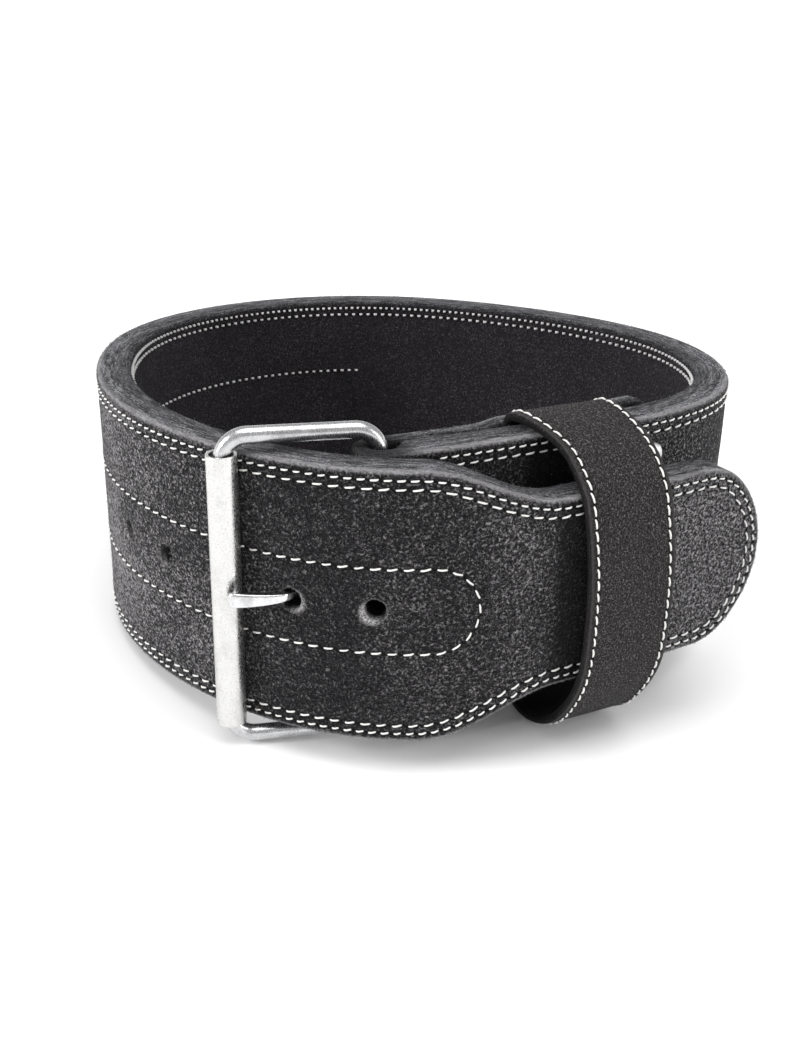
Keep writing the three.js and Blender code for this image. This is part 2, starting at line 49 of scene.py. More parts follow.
# Buckle, mm
WIRE, WIRE_FIT, PIVOT_AT = 6.0, 0.4, 4.0
PLAY_ABOVE, PLAY_BELOW, FRAME_CORNER = 3.0, 3.6, 8.5
FRAME_HEIGHT = WIDTH + PLAY_ABOVE + PLAY_BELOW + WIRE
ROLLER_DIAMETER, ROLLER_WALL, ROLLER_OVER_BEND, ROLLER_AT, SLACK = 10.5, 1.1, 2.6, 712.0, 0.3
ROLLER_LENGTH = FRAME_HEIGHT - 2 * (FRAME_CORNER - ROLLER_OVER_BEND)
EYE_WALL, EYE_HEIGHT = 2.3, 9.0
PRONG_DEPTH, PRONG_HEIGHT, PRONG_ARCH = 3.9, 5.6, 12.7

# Loop, mm
LOOP_WIDTH, LOOP_THICKNESS, LOOP_ROUND, LOOP_AT = 35.0, 3.2, 0.9, 80.0
LOOP_REACH, LOOP_HANG = 33.1, 13.0
LOOP_BACK = THICKNESS + LOOP_SPACE / 2

# Rivets, mm
RIVET_HEAD, RIVET_DOME, RIVET_SHANK, RIVET_BURR, BURR_HEIGHT = 9.6, 2.2, 4.0, 8.0, 1.1
RIVETS = {
    "rivet_upper_left": (34.0, 75.0), "rivet_lower_left": (34.0, 25.0),
    "rivet_upper_right": (110.0, 85.0), "rivet_lower_right": (110.0, 15.0),
}

# How the outer face turns: share of the length, degrees over a whole length at that rate
START_X, START_HEADING = -8.0, 16.2
PLAN = np.array([
    (0.0000, 438.2), (0.0217, 210.3), (0.0433, 27.7), (0.0867, 25.8), (0.1355, 502.8), (0.1680, 806.3),
    (0.2060, 616.2), (0.2547, 597.8), (0.3035, 334.9), (0.3577, 239.8), (0.4336, 449.3),
    (0.4986, 437.3), (0.5420, 544.3), (0.5854, 585.8), (0.6287, 321.0), (0.6829, 404.1),
    (0.7371, 317.3), (0.7859, 411.4), (0.8293, 584.9), (0.8618, 549.8), (0.8889, 328.4), (0.9214, 36.0),
    (1.0000, -114.4),
])

# Middle line of the loop: share of its reach out or back, share of the strap's width, share of its hang
LOOP_SHARES = np.array([
    (-1, 0.5, 0), (-1, 0.12, 0), (-0.98, 0, -0.23), (-0.78, 0, -0.85), (-0.25, 0, -1), (0.18, 0, -0.84),
    (0.48, 0, -0.38), (0.725, 0.052, 0), (0.895, 0.165, 0), (0.98, 0.28, 0), (1, 0.44, 0), (0.97, 0.605, 0),
    (0.89, 0.736, 0), (0.775, 0.849, 0), (0.56, 0.932, 0), (0.26, 0.996, 0), (-0.06, 1, 0.26),
    (-0.55, 1, 0.32), (-0.87, 1, 0.18), (-0.99, 0.976, 0), (-1, 0.88, 0),
])
LOOP_LINE = np.stack([
    LOOP_SHARES[:, 0] * np.where(LOOP_SHARES[:, 0] < 0, LOOP_BACK, LOOP_REACH),
    LOOP_SHARES[:, 1] * WIDTH + LOOP_SHARES[:, 2] * LOOP_HANG], -1)

# Prong: share of the way from pivot to roller, shares of its arch, depth and height
PRONG_LINE = np.array([
    (0.08, 0.047, 1, 0.8), (0.20, -0.024, 1, 0.8), (0.32, -0.071, 1, 0.75), (0.44, -0.055, 1, 0.7),
    (0.53, 0.173, 0.97, 0.62), (0.59, 0.5, 0.9, 0.56), (0.65, 0.72, 0.86, 0.58), (0.75, 0.79, 0.86, 0.72),
    (0.87, 0.77, 0.86, 0.88), (0.96, 0.71, 0.8, 0.97), (1.01, 0.63, 0.74, 1),
]) * (1, PRONG_ARCH, PRONG_DEPTH, PRONG_HEIGHT)
PRONG_LIFT = 1.3

# Stitching, mm
EDGE_ROWS = {"outer": (3.3, 4.35), "inner": (6.4, 5.5)}  # inset from the edge, pitch
EDGE_ROWS_FROM = 20.0
SLOT_HALF, SLOT_FROM, SLOT_TO, SLOT_PITCH, WAIST_SLOT_FROM = 15.6, 407.0, 783.0, 5.5, 404.0
LOOP_ROW_INSET, LOOP_PITCH = 2.6, 4.2
WAIST_PITCH = 0.72  # share of the outer face's pitch

MIDDLE = WIDTH / 2

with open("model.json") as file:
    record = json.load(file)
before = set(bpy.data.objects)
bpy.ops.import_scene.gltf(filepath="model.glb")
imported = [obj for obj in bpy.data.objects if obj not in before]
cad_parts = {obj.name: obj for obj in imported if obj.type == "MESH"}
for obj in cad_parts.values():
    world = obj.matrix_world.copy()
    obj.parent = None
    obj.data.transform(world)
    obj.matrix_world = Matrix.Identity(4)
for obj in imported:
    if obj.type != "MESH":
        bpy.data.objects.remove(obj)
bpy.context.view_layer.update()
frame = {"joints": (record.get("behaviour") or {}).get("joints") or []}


def smooth(a, b, v):
    t = np.clip((np.asarray(v, float) - a) / (b - a), 0, 1)
    return t * t * (3 - 2 * t)


def lerp(a, b, t):
    return a + (b - a) * t


# The ring, seen from above

def walk_plan():
    steps = np.arange(0, math.floor(LENGTH) + 2, dtype=float)
    turn = np.radians(np.interp((steps[:-1] + 0.5) / LENGTH, PLAN[:, 0], PLAN[:, 1])) / LENGTH
    heading = math.radians(START_HEADING) + np.concatenate([[0], np.cumsum(turn)])
    middle = heading[:-1] + turn / 2
    x = START_X + np.concatenate([[0], np.cumsum(np.cos(middle))])
    y = np.concatenate([[0], np.cumsum(np.sin(middle))])
    return steps, x, y, heading


STEPS, PLAN_X, PLAN_Y, PLAN_HEADING = walk_plan()


def outer_face(s):
    """Point, direction along the strap and direction out of the ring, at lengths s from the buckle."""
    s = np.asarray(s, float)
    heading = np.interp(s, STEPS, PLAN_HEADING)
    point = np.stack([np.interp(s, STEPS, PLAN_X), np.interp(s, STEPS, PLAN_Y)], -1)
    along = np.stack([np.cos(heading), np.sin(heading)], -1)
    out = np.stack([np.sin(heading), -np.cos(heading)], -1)
    return point, along, out


BEND_RADIUS = WIRE / 2 + WIRE_FIT + FOLD_THICKNESS
pivot_point, pivot_along, pivot_out = outer_face(PIVOT_AT)
PIVOT = pivot_point - pivot_out * BEND_RADIUS
roller_point, _, roller_out = outer_face(ROLLER_AT)
ROLLER = roller_point + roller_out * (ROLLER_DIAMETER / 2 + SLACK)
FRAME_LENGTH = float(np.linalg.norm(ROLLER - PIVOT))
TO_ROLLER = (ROLLER - PIVOT) / FRAME_LENGTH
FRAME_OUT = np.array([-TO_ROLLER[1], TO_ROLLER[0]])
FRAME_MIDDLE = MIDDLE + (PLAY_ABOVE - PLAY_BELOW) / 2


def flap_depth(s):
    space = lerp(FLAP_GAP, LOOP_SPACE, smooth(FLAP_OPENS, FLAP_OPEN, s))
    far = THICKNESS + space + FOLD_THICKNESS
    return lerp(2 * BEND_RADIUS, far, smooth(PIVOT_AT, FLAP_MEETS, s))


def lay_grain_side():
    """The grain side from the end of the flap, round the pivot bar and on to the tip."""
    s = np.arange(PIVOT_AT + FLAP_LENGTH, PIVOT_AT + 0.5, -1.0)
    point, _, out = outer_face(s)
    flap = point - out * flap_depth(s)[:, None]
    turn = np.pi * np.arange(48) / 48
    angle = -(np.pi - turn)
    away = np.stack([pivot_out[0] * np.cos(angle) - pivot_out[1] * np.sin(angle),
                     pivot_out[0] * np.sin(angle) + pivot_out[1] * np.cos(angle)], -1)
    bend = PIVOT + away * BEND_RADIUS
    s_main = np.arange(PIVOT_AT, LENGTH + 0.01, 0.5)
    main, _, main_out = outer_face(s_main)
    points = np.concatenate([flap, bend, main])
    inward = np.concatenate([out, -away, -main_out])
    grown = smooth(PARE_START, PARE_END, s_main)
    thick = np.concatenate([np.full(len(flap) + len(bend), FOLD_THICKNESS),
                            lerp(FOLD_THICKNESS, THICKNESS, grown)])
    length = np.concatenate([[0], np.cumsum(np.linalg.norm(np.diff(points, axis=0), axis=1))])
    return length, points, inward, thick, length[len(flap) + len(bend)]


GRAIN_AT, GRAIN_POINTS, GRAIN_INWARD, GRAIN_THICK, MAIN_START = lay_grain_side()
RIBBON = GRAIN_AT[-1]


def ribbon_at(s):
    return MAIN_START + (s - PIVOT_AT)


def thickness_at(along):
    return np.interp(along, GRAIN_AT, GRAIN_THICK)


def wind(along, rise, depth):
    """Places on the laid-out strap, wound into the ring: millimetres, lower edge at 0."""
    along = np.asarray(along, float)
    x, y = (np.interp(along, GRAIN_AT, GRAIN_POINTS[:, k]) for k in (0, 1))
    ix, iy = (np.interp(along, GRAIN_AT, GRAIN_INWARD[:, k]) for k in (0, 1))
    size = np.hypot(ix, iy)
    depth = np.asarray(depth, float)
    droop = TONGUE_DROOP * smooth(ribbon_at(SHOULDER_END), ribbon_at(SHOULDER_END + DROOP_LENGTH), along)
    return np.stack([x + ix / size * depth, y + iy / size * depth, MIDDLE + rise - droop], -1)


# Where the belt stands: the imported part's one joint is the roller's axis

roller_joint = frame["joints"][0]
UPRIGHT = Vector(roller_joint["axis"]).normalized()
LEAN = np.array(Vector((0, 0, 1)).rotation_difference(UPRIGHT).to_matrix())
STANDS_AT = np.array(roller_joint["pos_m"]) * 1000 - LEAN @ np.array([*ROLLER, FRAME_MIDDLE])


def set_down(points):
    return (np.asarray(points) @ LEAN.T + STANDS_AT) / 1000


def set_down_direction(vectors):
    return np.asarray(vectors) @ LEAN.T


# Meshes

def new_mesh(name, points, faces, marks=None, face_marks=None):
    """A closed piece from points in belt millimetres; marks are numbers or vectors kept per point."""
    mesh = bpy.data.meshes.new(name)
    mesh.from_pydata(set_down(points).tolist(), [], faces)
    for key, values in (marks or {}).items():
        values = np.asarray(values, np.float32)
        kind = "FLOAT_VECTOR" if values.ndim == 2 else "FLOAT"
        store = mesh.attributes.new(key, kind, "POINT")
        store.data.foreach_set("vector" if values.ndim == 2 else "value", values.ravel())
    mesh.shade_smooth()
    mesh.update()
    piece = bpy.data.objects.new(name, mesh)
    bpy.context.scene.collection.objects.link(piece)
    return piece


def used_only(points, marks, faces):
    """Drops the points that no face uses."""
    used = np.unique(np.concatenate([np.asarray(f) for f in faces]))
    new_index = np.full(len(points), -1)
    new_index[used] = np.arange(len(used))
    faces = [[int(new_index[i]) for i in f] for f in faces]
    return points[used], {k: v[used] for k, v in marks.items()}, faces


def spread(start, end, step):
    return np.linspace(start, end, max(1, math.ceil((end - start) / step)) + 1)


# Outline of the strap laid flat: upper half as rows of along, rise, way out along, way out up

HALF, NARROW = WIDTH / 2, TONGUE_WIDTH / 2
HOLES = [ribbon_at(LAST_HOLE - i * HOLE_PITCH) for i in range(HOLE_COUNT)]
EYE_SLOT = (ribbon_at(PIVOT_AT) - math.pi * BEND_RADIUS / 2, 17.6, 6.5)  # along, half straight, radius
HOLE_PATCH, SLOT_PATCH = 7.0, 11.0


def straight_stops():
    """Columns between the flap's corner and the shoulder: even steps between the holes' patches."""
    marks = [FLAP_CORNER]
    slot_reach = EYE_SLOT[1] + EYE_SLOT[2] + 4.5
    marks += [EYE_SLOT[0] - slot_reach, EYE_SLOT[0] + slot_reach]
    for hole in sorted(HOLES):
        marks += [hole - HOLE_PATCH, hole + HOLE_PATCH]
    marks.append(ribbon_at(SHOULDER_START))
    stops = [np.array([FLAP_CORNER])]
    for a, b in zip(marks[:-1], marks[1:]):
        stops.append(spread(a, b, 2.0)[1:])
    return np.concatenate(stops)


def upper_outline():
    rows = []
    for a in np.linspace(0, math.pi / 2, 8)[:-1]:
        rows.append((FLAP_CORNER * (1 - math.cos(a)), HALF - FLAP_CORNER * (1 - math.sin(a)),
                     -math.cos(a), math.sin(a)))
    for v in straight_stops():
        rows.append((v, HALF, 0.0, 1.0))
    start, end = ribbon_at(SHOULDER_START), ribbon_at(SHOULDER_END)
    drop = HALF - NARROW
    for v in spread(start, end, 2.0)[1:]:
        a = math.pi * (v - start) / (end - start)
        slope = -drop * math.pi * math.sin(a) / (2 * (end - start))
        size = math.hypot(1, slope)
        rows.append((v, HALF - drop * (1 - math.cos(a)) / 2, -slope / size, 1 / size))
    tip = RIBBON - 0.5
    between, rise = TIP_END_RADIUS - TIP_SHOULDER_RADIUS, NARROW - TIP_SHOULDER_RADIUS
    centre = tip - TIP_END_RADIUS + math.sqrt(between ** 2 - rise ** 2)
    for v in spread(end, centre, 2.0)[1:]:
        rows.append((v, NARROW, 0.0, 1.0))
    meet = math.asin(rise / between)
    for a in np.linspace(math.pi / 2, meet, 16)[1:]:
        c, s = math.cos(a), math.sin(a)
        rows.append((centre + TIP_SHOULDER_RADIUS * c, rise + TIP_SHOULDER_RADIUS * s, c, s))
    for a in np.linspace(meet, 0.06, 22)[1:]:
        c, s = math.cos(a), math.sin(a)
        rows.append((tip - TIP_END_RADIUS * (1 - c), TIP_END_RADIUS * s, c, s))
    return np.array(rows)


OUTLINE = upper_outline()


def outline_polyline():
    upper = OUTLINE[:, :2]
    lower = OUTLINE[::-1, :2] * [1, -1]
    ring = np.concatenate([upper, lower, upper[:1]])
    length = np.concatenate([[0], np.cumsum(np.linalg.norm(np.diff(ring, axis=0), axis=1))])
    at = np.arange(0, length[-1], 0.4)
    return np.stack([np.interp(at, length, ring[:, k]) for k in (0, 1)], -1)


def edge_distance(along, rise):
    ring = outline_polyline()
    tree = kdtree.KDTree(len(ring))
    for i, p in enumerate(ring):
        tree.insert((p[0], p[1], 0), i)
    tree.balance()
    return np.array([tree.find((a, r, 0))[2] for a, r in zip(along, rise)])


def slot_distance(along, rise):
    start, end = ribbon_at(SLOT_FROM + SLOT_HALF), ribbon_at(SLOT_TO)
    reach = along - np.clip(along, start, end)
    return np.hypot(reach, rise) - SLOT_HALF


def lie(along, rise, distance):
    """How far the leather's low unevenness moves its face inward."""
    return 0.3 * rumple(along, rise, 3.1) * smooth(0, 9, distance)


def rumple(along, rise, seed):
    """Low unevenness of the leather, from -1 to 1."""
    return np.array([
        noise.noise((a / 46, r / 34, seed)) + 0.45 * noise.noise((a / 15, r / 15, seed + 7))
        for a, r in zip(along, rise)
    ])


FIXED_RISES = np.array([-11, -9, -7, -5, -3, -1, 1, 3, 5, 7, 9, 11.0])
SIDE_SHARES = np.linspace(0, 1, 21)[1:]


def column_rises(top):
    """Points up one column whose ends are at plus and minus top: an even band in the middle."""
    band = min(11.0, 0.45 * top)
    middle = FIXED_RISES * band / 11
    side = band + (top - band) * SIDE_SHARES
    return np.concatenate([-side[::-1], middle, side])


def hole_shape(hole, du, dv):
    """Point of the hole's outline in the direction of (du, dv) from its middle, and the way out."""
    _, straight, radius = hole
    c = np.clip(du, -straight, straight)
    x, y = du - c, dv
    size = np.hypot(x, y)
    return c, x / size, y / size, radius


def build_strap():
    along, rise, out_along, out_rise = OUTLINE.T
    count = len(OUTLINE)
    thick = thickness_at(along)
    inset = np.minimum(EDGE_ROUND, thick * 0.36)
    columns = along - inset * out_along
    tops = rise - inset * out_rise
    rows = np.stack([column_rises(t) for t in tops])
    across = rows.shape[1]

    flat, faces = [], []

    def add(block):
        start = sum(len(b) for b in flat)
        flat.append(np.asarray(block, float))
        return start

    # Both faces: outer at depth 0, waist side at full depth
    grid_along = np.repeat(columns, across)
    grid_rise = rows.ravel()
    full = thickness_at(grid_along)
    outer = add(np.stack([grid_along, grid_rise, 0 * full], -1))
    waist = add(np.stack([grid_along, grid_rise, full], -1))

    patches = [((hole, 0.0, HOLE_DIAMETER / 2), HOLE_PATCH, HOLE_PATCH) for hole in HOLES]
    patches.append((EYE_SLOT, EYE_SLOT[1] + EYE_SLOT[2] + 4.5, SLOT_PATCH))
    covered = np.zeros((count - 1, across - 1), bool)
    spans = []
    for hole, reach_along, reach_rise in patches:
        i0 = int(np.argmin(abs(columns - (hole[0] - reach_along))))
        i1 = int(np.argmin(abs(columns - (hole[0] + reach_along))))
        j0 = int(np.argmin(abs(rows[i0] + reach_rise)))
        j1 = int(np.argmin(abs(rows[i0] - reach_rise)))
        covered[i0:i1, j0:j1] = True
        spans.append((hole, i0, i1, j0, j1))
    for i in range(count - 1):
        for j in range(across - 1):
            if not covered[i, j]:
                a, b = i * across + j, (i + 1) * across + j
                faces.append((outer + a, outer + a + 1, outer + b + 1, outer + b))
                faces.append((waist + a, waist + b, waist + b + 1, waist + a + 1))

    # Holes: each face drawn in to the rim, then the wall between them
    for hole, i0, i1, j0, j1 in spans:
        loop = ([i0 * across + j for j in range(j0, j1)] + [i * across + j1 for i in range(i0, i1)]
                + [i1 * across + j for j in range(j1, j0, -1)] + [i * across + j0 for i in range(i1, i0, -1)])
        loop = np.array(loop)
        du, dv = grid_along[loop] - hole[0], grid_rise[loop]
        c, x, y, radius = hole_shape(hole, du, dv)
        depth_here = full[loop]
        bearing = np.arctan2(dv, du)
        worn = 1 + 0.07 * np.array([noise.noise((2 * math.cos(b), 2 * math.sin(b), hole[0])) for b in bearing])
        x, y = x * worn, y * worn
        lip = 1.1
        stages = []
        for t in (0.3, 0.55, 0.75, 0.9, 1.0):
            rim = radius + lip
            stages.append((lerp(du, c + x * rim, t), lerp(dv, y * rim, t), 0 * du))
        for k in range(1, 5):
            a = math.pi / 2 * k / 4
            r, d = radius + lip * (1 - math.sin(a)), lip * (1 - math.cos(a))
            stages.append((c + x * r, y * r, 0 * du + d))
        wall_steps = 5
        rings = [outer + loop]
        for u, v, d in stages:
            rings.append(add(np.stack([hole[0] + u, v, d], -1)) + np.arange(len(loop)))
        for k in range(1, wall_steps):
            d = lerp(lip, depth_here - lip, k / wall_steps)
            rings.append(add(np.stack([hole[0] + c + x * radius, y * radius, d], -1)) + np.arange(len(loop)))
        for u, v, d in reversed(stages):
            rings.append(add(np.stack([hole[0] + u, v, depth_here - d], -1)) + np.arange(len(loop)))
        rings.append(waist + loop)
        for near, far in zip(rings[:-1], rings[1:]):
            for k in range(len(loop)):
                m = (k + 1) % len(loop)
                faces.append((near[k], near[m], far[m], far[k]))

    # Edge: round corner, flat, round corner, all the way round
    end_rise, first_rise = rows[-1][::-1], rows[0]
    border = np.concatenate([
        np.arange(count) * across + across - 1,
        (count - 1) * across + np.arange(across - 2, 0, -1),
        np.arange(count - 1, -1, -1) * across,
        np.arange(1, across - 1),
    ])
    inner = across - 2
    b_along = np.concatenate([along, np.full(inner, along[-1]), along[::-1], np.full(inner, along[0])])
    b_rise = np.concatenate([rise, end_rise[1:-1], -rise[::-1], first_rise[1:-1]])
    tip_turn = end_rise[1:-1] / max(tops[-1], 1e-6) * out_rise[-1]
    b_oa = np.concatenate([out_along, np.sqrt(1 - tip_turn ** 2), out_along[::-1], np.full(inner, -1.0)])
    b_or = np.concatenate([out_rise, tip_turn, -out_rise[::-1], np.zeros(inner)])
    b_inset = np.concatenate([inset, np.full(inner, inset[-1]), inset[::-1], np.full(inner, inset[0])])
    b_thick = np.concatenate([thick, np.full(inner, thick[-1]), thick[::-1], np.full(inner, thick[0])])
    profile = []
    for k in range(1, 5):
        a = math.pi / 2 * k / 4
        profile.append((b_inset * (1 - math.sin(a)), b_inset * (1 - math.cos(a))))
    for k in range(1, 8):
        profile.append((0 * b_inset, lerp(b_inset, b_thick - b_inset, k / 8)))
    for k in range(4, 0, -1):
        a = math.pi / 2 * k / 4
        profile.append((b_inset * (1 - math.sin(a)), b_thick - b_inset * (1 - math.cos(a))))
    rings = [outer + border]
    for pull, depth in profile:
        ring = np.stack([b_along - pull * b_oa, b_rise - pull * b_or, depth], -1)
        rings.append(add(ring) + np.arange(len(border)))
    rings.append(waist + border)
    for near, far in zip(rings[:-1], rings[1:]):
        for k in range(len(border)):
            m = (k + 1) % len(border)
            faces.append((near[k], near[m], far[m], far[k]))

    flat = np.concatenate(flat)
    a, r, d = flat.T
    thick = thickness_at(a)
    distance = edge_distance(a, r)
    ways = np.array([np.hypot(a - hole, r) for hole in HOLES])
    nearest = np.argmin(ways, axis=0)
    hole_gap = np.min(ways, axis=0) - HOLE_DIAMETER / 2
    from_hole = np.stack([a - np.array(HOLES)[nearest], r], -1) / np.maximum(np.min(ways, axis=0), 1)[:, None]
    # hole rims: a faint raw rim all round, and a painted highlight, a pale crescent, on the side of the free hole and
    # the prong hole where the light falls
    lit_way = np.where((nearest == 1)[:, None], (0.95, -0.3), (-0.75, -0.66))
    faces_the_light = np.clip(np.sum(from_hole * lit_way, axis=1), 0, 1)
    rim_share_by_hole = np.where(nearest == 0, 1.0, np.where(nearest == 1, 0.7, 0.2))
    raw_rim = rim_share_by_hole * (0.2 * (hole_gap > 0.2) + 0.8 * faces_the_light)
    raw_rim = raw_rim * (1 - smooth(0.4 + 0.5 * faces_the_light, 1.2 + 1.3 * faces_the_light, hole_gap))
    marks = {
        "laid_flat": flat / 1000,
        "edge_inset": distance / 1000,
        "slot_line": slot_distance(a, r) / 1000,
        "hole_gap": hole_gap / 1000,
        "raw_rim": raw_rim,
        "through": d / thick,
    }
    sink = lie(a, r, distance)
    for hole in HOLES:
        away = np.hypot(a - hole, r)
        sink = sink + 0.55 * np.exp(-((away - HOLE_DIAMETER / 2) / 2.6) ** 2) * (away < 14)
    shade = 1 - 2 * d / thick
    flat_depth = d + sink * shade
    points = wind(a, r, flat_depth)
    points, marks, faces = used_only(points, marks, faces)
    return new_mesh("strap_leather", points, faces, marks)


# Loop

def closed_spline(points, count):
    """Centripetal Catmull-Rom curve through closed points, at even lengths."""
    n = len(points)
    fine = []
    for i in range(n):
        p = [points[(i + k - 1) % n] for k in range(4)]
        gaps = [max(np.linalg.norm(p[k + 1] - p[k]) ** 0.5, 1e-6) for k in range(3)]
        m1 = (p[1] - p[0]) / gaps[0] - (p[2] - p[0]) / (gaps[0] + gaps[1]) + (p[2] - p[1]) / gaps[1]
        m2 = (p[2] - p[1]) / gaps[1] - (p[3] - p[1]) / (gaps[1] + gaps[2]) + (p[3] - p[2]) / gaps[2]
        m1, m2 = m1 * gaps[1], m2 * gaps[1]
        for t in np.linspace(0, 1, 40, endpoint=False):
            fine.append((2 * t ** 3 - 3 * t ** 2 + 1) * p[1] + (t ** 3 - 2 * t ** 2 + t) * m1
                        + (-2 * t ** 3 + 3 * t ** 2) * p[2] + (t ** 3 - t ** 2) * m2)
    fine = np.array(fine + fine[:1])
    length = np.concatenate([[0], np.cumsum(np.linalg.norm(np.diff(fine, axis=0), axis=1))])
    at = np.linspace(0, length[-1], count, endpoint=False)
    line = np.stack([np.interp(at, length, fine[:, k]) for k in range(fine.shape[1])], -1)
    return line, at, length[-1]


loop_point, loop_along, loop_out = outer_face(LOOP_AT)
LOOP_STEPS = 330
LOOP_CURVE, LOOP_PLACES, LOOP_ROUND_LENGTH = closed_spline(LOOP_LINE, LOOP_STEPS)


def loop_skin(at, across, depth):
    """Places on the loop: length round it, across it, and depth in from its outer face."""
    u = np.asarray(at, float) % LOOP_ROUND_LENGTH
    places = np.append(LOOP_PLACES, LOOP_ROUND_LENGTH)
    line = np.concatenate([LOOP_CURVE, LOOP_CURVE[:1]])
    tangent = np.roll(LOOP_CURVE, -1, 0) - np.roll(LOOP_CURVE, 1, 0)
    tangent /= np.linalg.norm(tangent, axis=1)[:, None]
    tangent = np.concatenate([tangent, tangent[:1]])
    out = np.interp(u, places, line[:, 0])
    up = np.interp(u, places, line[:, 1])
    tx, ty = np.interp(u, places, tangent[:, 0]), np.interp(u, places, tangent[:, 1])
    size = np.hypot(tx, ty)
    normal_out, normal_up = ty / size, -tx / size
    lift = LOOP_THICKNESS / 2 - np.asarray(depth, float)
    across = np.asarray(across, float)
    to_back = (1 - smooth(-9, 16, out)) * smooth(0.3 * WIDTH, 0.9 * WIDTH, up)
    across = across - to_back * (1.5 + 5.5 * np.clip(0.5 - across / LOOP_WIDTH, 0, 1))
    out, up = out + normal_out * lift, up + normal_up * lift
    flat = loop_point + loop_out * out[..., None] + loop_along * across[..., None]
    return np.concatenate([flat, up[..., None]], -1)


def build_loop():
    half, round_by = LOOP_WIDTH / 2, LOOP_ROUND
    profile = []
    for v in np.linspace(-half + round_by, half - round_by, 30):
        profile.append((v, 0.0))
    for k in range(1, 4):
        a = math.pi / 2 * k / 4
        profile.append((half - round_by * (1 - math.sin(a)), round_by * (1 - math.cos(a))))
    for d in np.linspace(round_by, LOOP_THICKNESS - round_by, 4):
        profile.append((half, d))
    for k in range(3, 0, -1):
        a = math.pi / 2 * k / 4
        profile.append((half - round_by * (1 - math.sin(a)), LOOP_THICKNESS - round_by * (1 - math.cos(a))))
    outer = [(v, d) for v, d in profile]
    lower = [(-v, LOOP_THICKNESS - d) for v, d in profile]
    section = np.array(outer + lower)
    n = len(section)
    at = np.repeat(LOOP_PLACES, n)
    across = np.tile(section[:, 0], LOOP_STEPS)
    depth = np.tile(section[:, 1], LOOP_STEPS)
    inset = half - abs(across)
    low = np.array([
        noise.noise((math.cos(2 * math.pi * a / LOOP_ROUND_LENGTH) * 3,
                     math.sin(2 * math.pi * a / LOOP_ROUND_LENGTH) * 3, v / 16)) for a, v in zip(at, across)])
    wave = 0.22 * low * (1 - 2 * depth / LOOP_THICKNESS)
    sway = 0.5 * np.array([noise.noise((a / 21, 4.2 if v > 0 else 9.1, 0)) for a, v in zip(at, across)])
    points = loop_skin(at, across + sway * (abs(across) / half) ** 3, depth + wave)
    faces = []
    for i in range(LOOP_STEPS):
        j = (i + 1) % LOOP_STEPS
        for k in range(n):
            m = (k + 1) % n
            faces.append((i * n + k, j * n + k, j * n + m, i * n + m))
    marks = {
        "laid_flat": np.stack([at, across, depth], -1) / 1000,
        "edge_inset": inset / 1000,
        "slot_line": np.full(len(at), 1.0),
        "hole_gap": np.full(len(at), 1.0),
        "raw_rim": np.zeros(len(at)),
        "through": depth / LOOP_THICKNESS,
    }
    return new_mesh("keeper_loop_leather", points, faces, marks)


# Steel

def sweep(name, centres, sideways, upwards, sections, closed, marks=None):
    """Sections (rows of side, up) set along a line of centres."""
    n = len(sections[0])
    points = np.concatenate([
        c + s[:, :1] * a + s[:, 1:] * b for c, a, b, s in zip(centres, sideways, upwards, sections)])
    rows = len(centres)
    faces = []
    for i in range(rows if closed else rows - 1):
        j = (i + 1) % rows
        for k in range(n):
            m = (k + 1) % n
            faces.append((i * n + k, i * n + m, j * n + m, j * n + k))
    if not closed:
        faces.append(tuple(range(n))[::-1])
        faces.append(tuple((rows - 1) * n + k for k in range(n)))
    return new_mesh(name, points, faces, marks)


def circle(radius, count):
    a = 2 * np.pi * np.arange(count) / count
    return np.stack([radius * np.cos(a), radius * np.sin(a)], -1)


def build_frame():
    wide, high, corner = FRAME_LENGTH / 2, FRAME_HEIGHT / 2, FRAME_CORNER
    centre = (PIVOT + ROLLER) / 2
    path, away = [], []
    for q, (sx, sz) in enumerate(((1, 1), (-1, 1), (-1, -1), (1, -1))):
        for a in np.linspace(0, 1, 13):
            a = math.pi / 2 * (q + a)
            path.append((sx * (wide - corner) + corner * math.cos(a),
                         sz * (high - corner) + corner * math.sin(a)))
            away.append((math.cos(a), math.sin(a)))
    long_path, long_away = [], []
    for i in range(len(path)):
        p, q = np.array(path[i]), np.array(path[(i + 1) % len(path)])
        steps = max(1, int(np.linalg.norm(q - p) // 4))
        for t in np.arange(steps) / steps:
            long_path.append(lerp(p, q, t))
            long_away.append(lerp(np.array(away[i]), np.array(away[(i + 1) % len(away)]), t))
    centres = [np.array([*(centre + TO_ROLLER * u), FRAME_MIDDLE + v]) for u, v in long_path]
    sideways = [np.array([*(TO_ROLLER * u / math.hypot(u, v)), v / math.hypot(u, v)]) for u, v in long_away]
    upwards = [np.array([*FRAME_OUT, 0.0])] * len(centres)
    return sweep("buckle_wire", centres, sideways, upwards, [circle(WIRE / 2, 28)] * len(centres), True)


def turned(name, profile, centre, axis, count, marks=None):
    """A profile of (radius, height) turned about an axis through centre."""
    axis = np.array(axis, float)
    side = np.cross(axis, [0, 0, 1.0] if abs(axis[2]) < 0.9 else [1.0, 0, 0])
    side /= np.linalg.norm(side)
    other = np.cross(axis, side)
    points, faces = [], []
    rows = []
    for radius, height in profile:
        start = len(points)
        if radius < 1e-6:
            points.append(np.array(centre) + axis * height)
            rows.append([start] * count)
            continue
        for a in 2 * math.pi * np.arange(count) / count:
            points.append(np.array(centre) + axis * height
                          + radius * (math.cos(a) * side + math.sin(a) * other))
        rows.append(list(range(start, start + count)))
    closed = np.allclose(profile[0], profile[-1])
    if closed:
        points = points[:-count]
        rows[-1] = rows[0]
    for near, far in zip(rows[:-1], rows[1:]):
        for k in range(count):
            m = (k + 1) % count
            face = [near[k], near[m], far[m], far[k]]
            face = [v for i, v in enumerate(face) if v not in face[:i]]
            faces.append(tuple(face))
    return new_mesh(name, np.array(points), faces, marks)


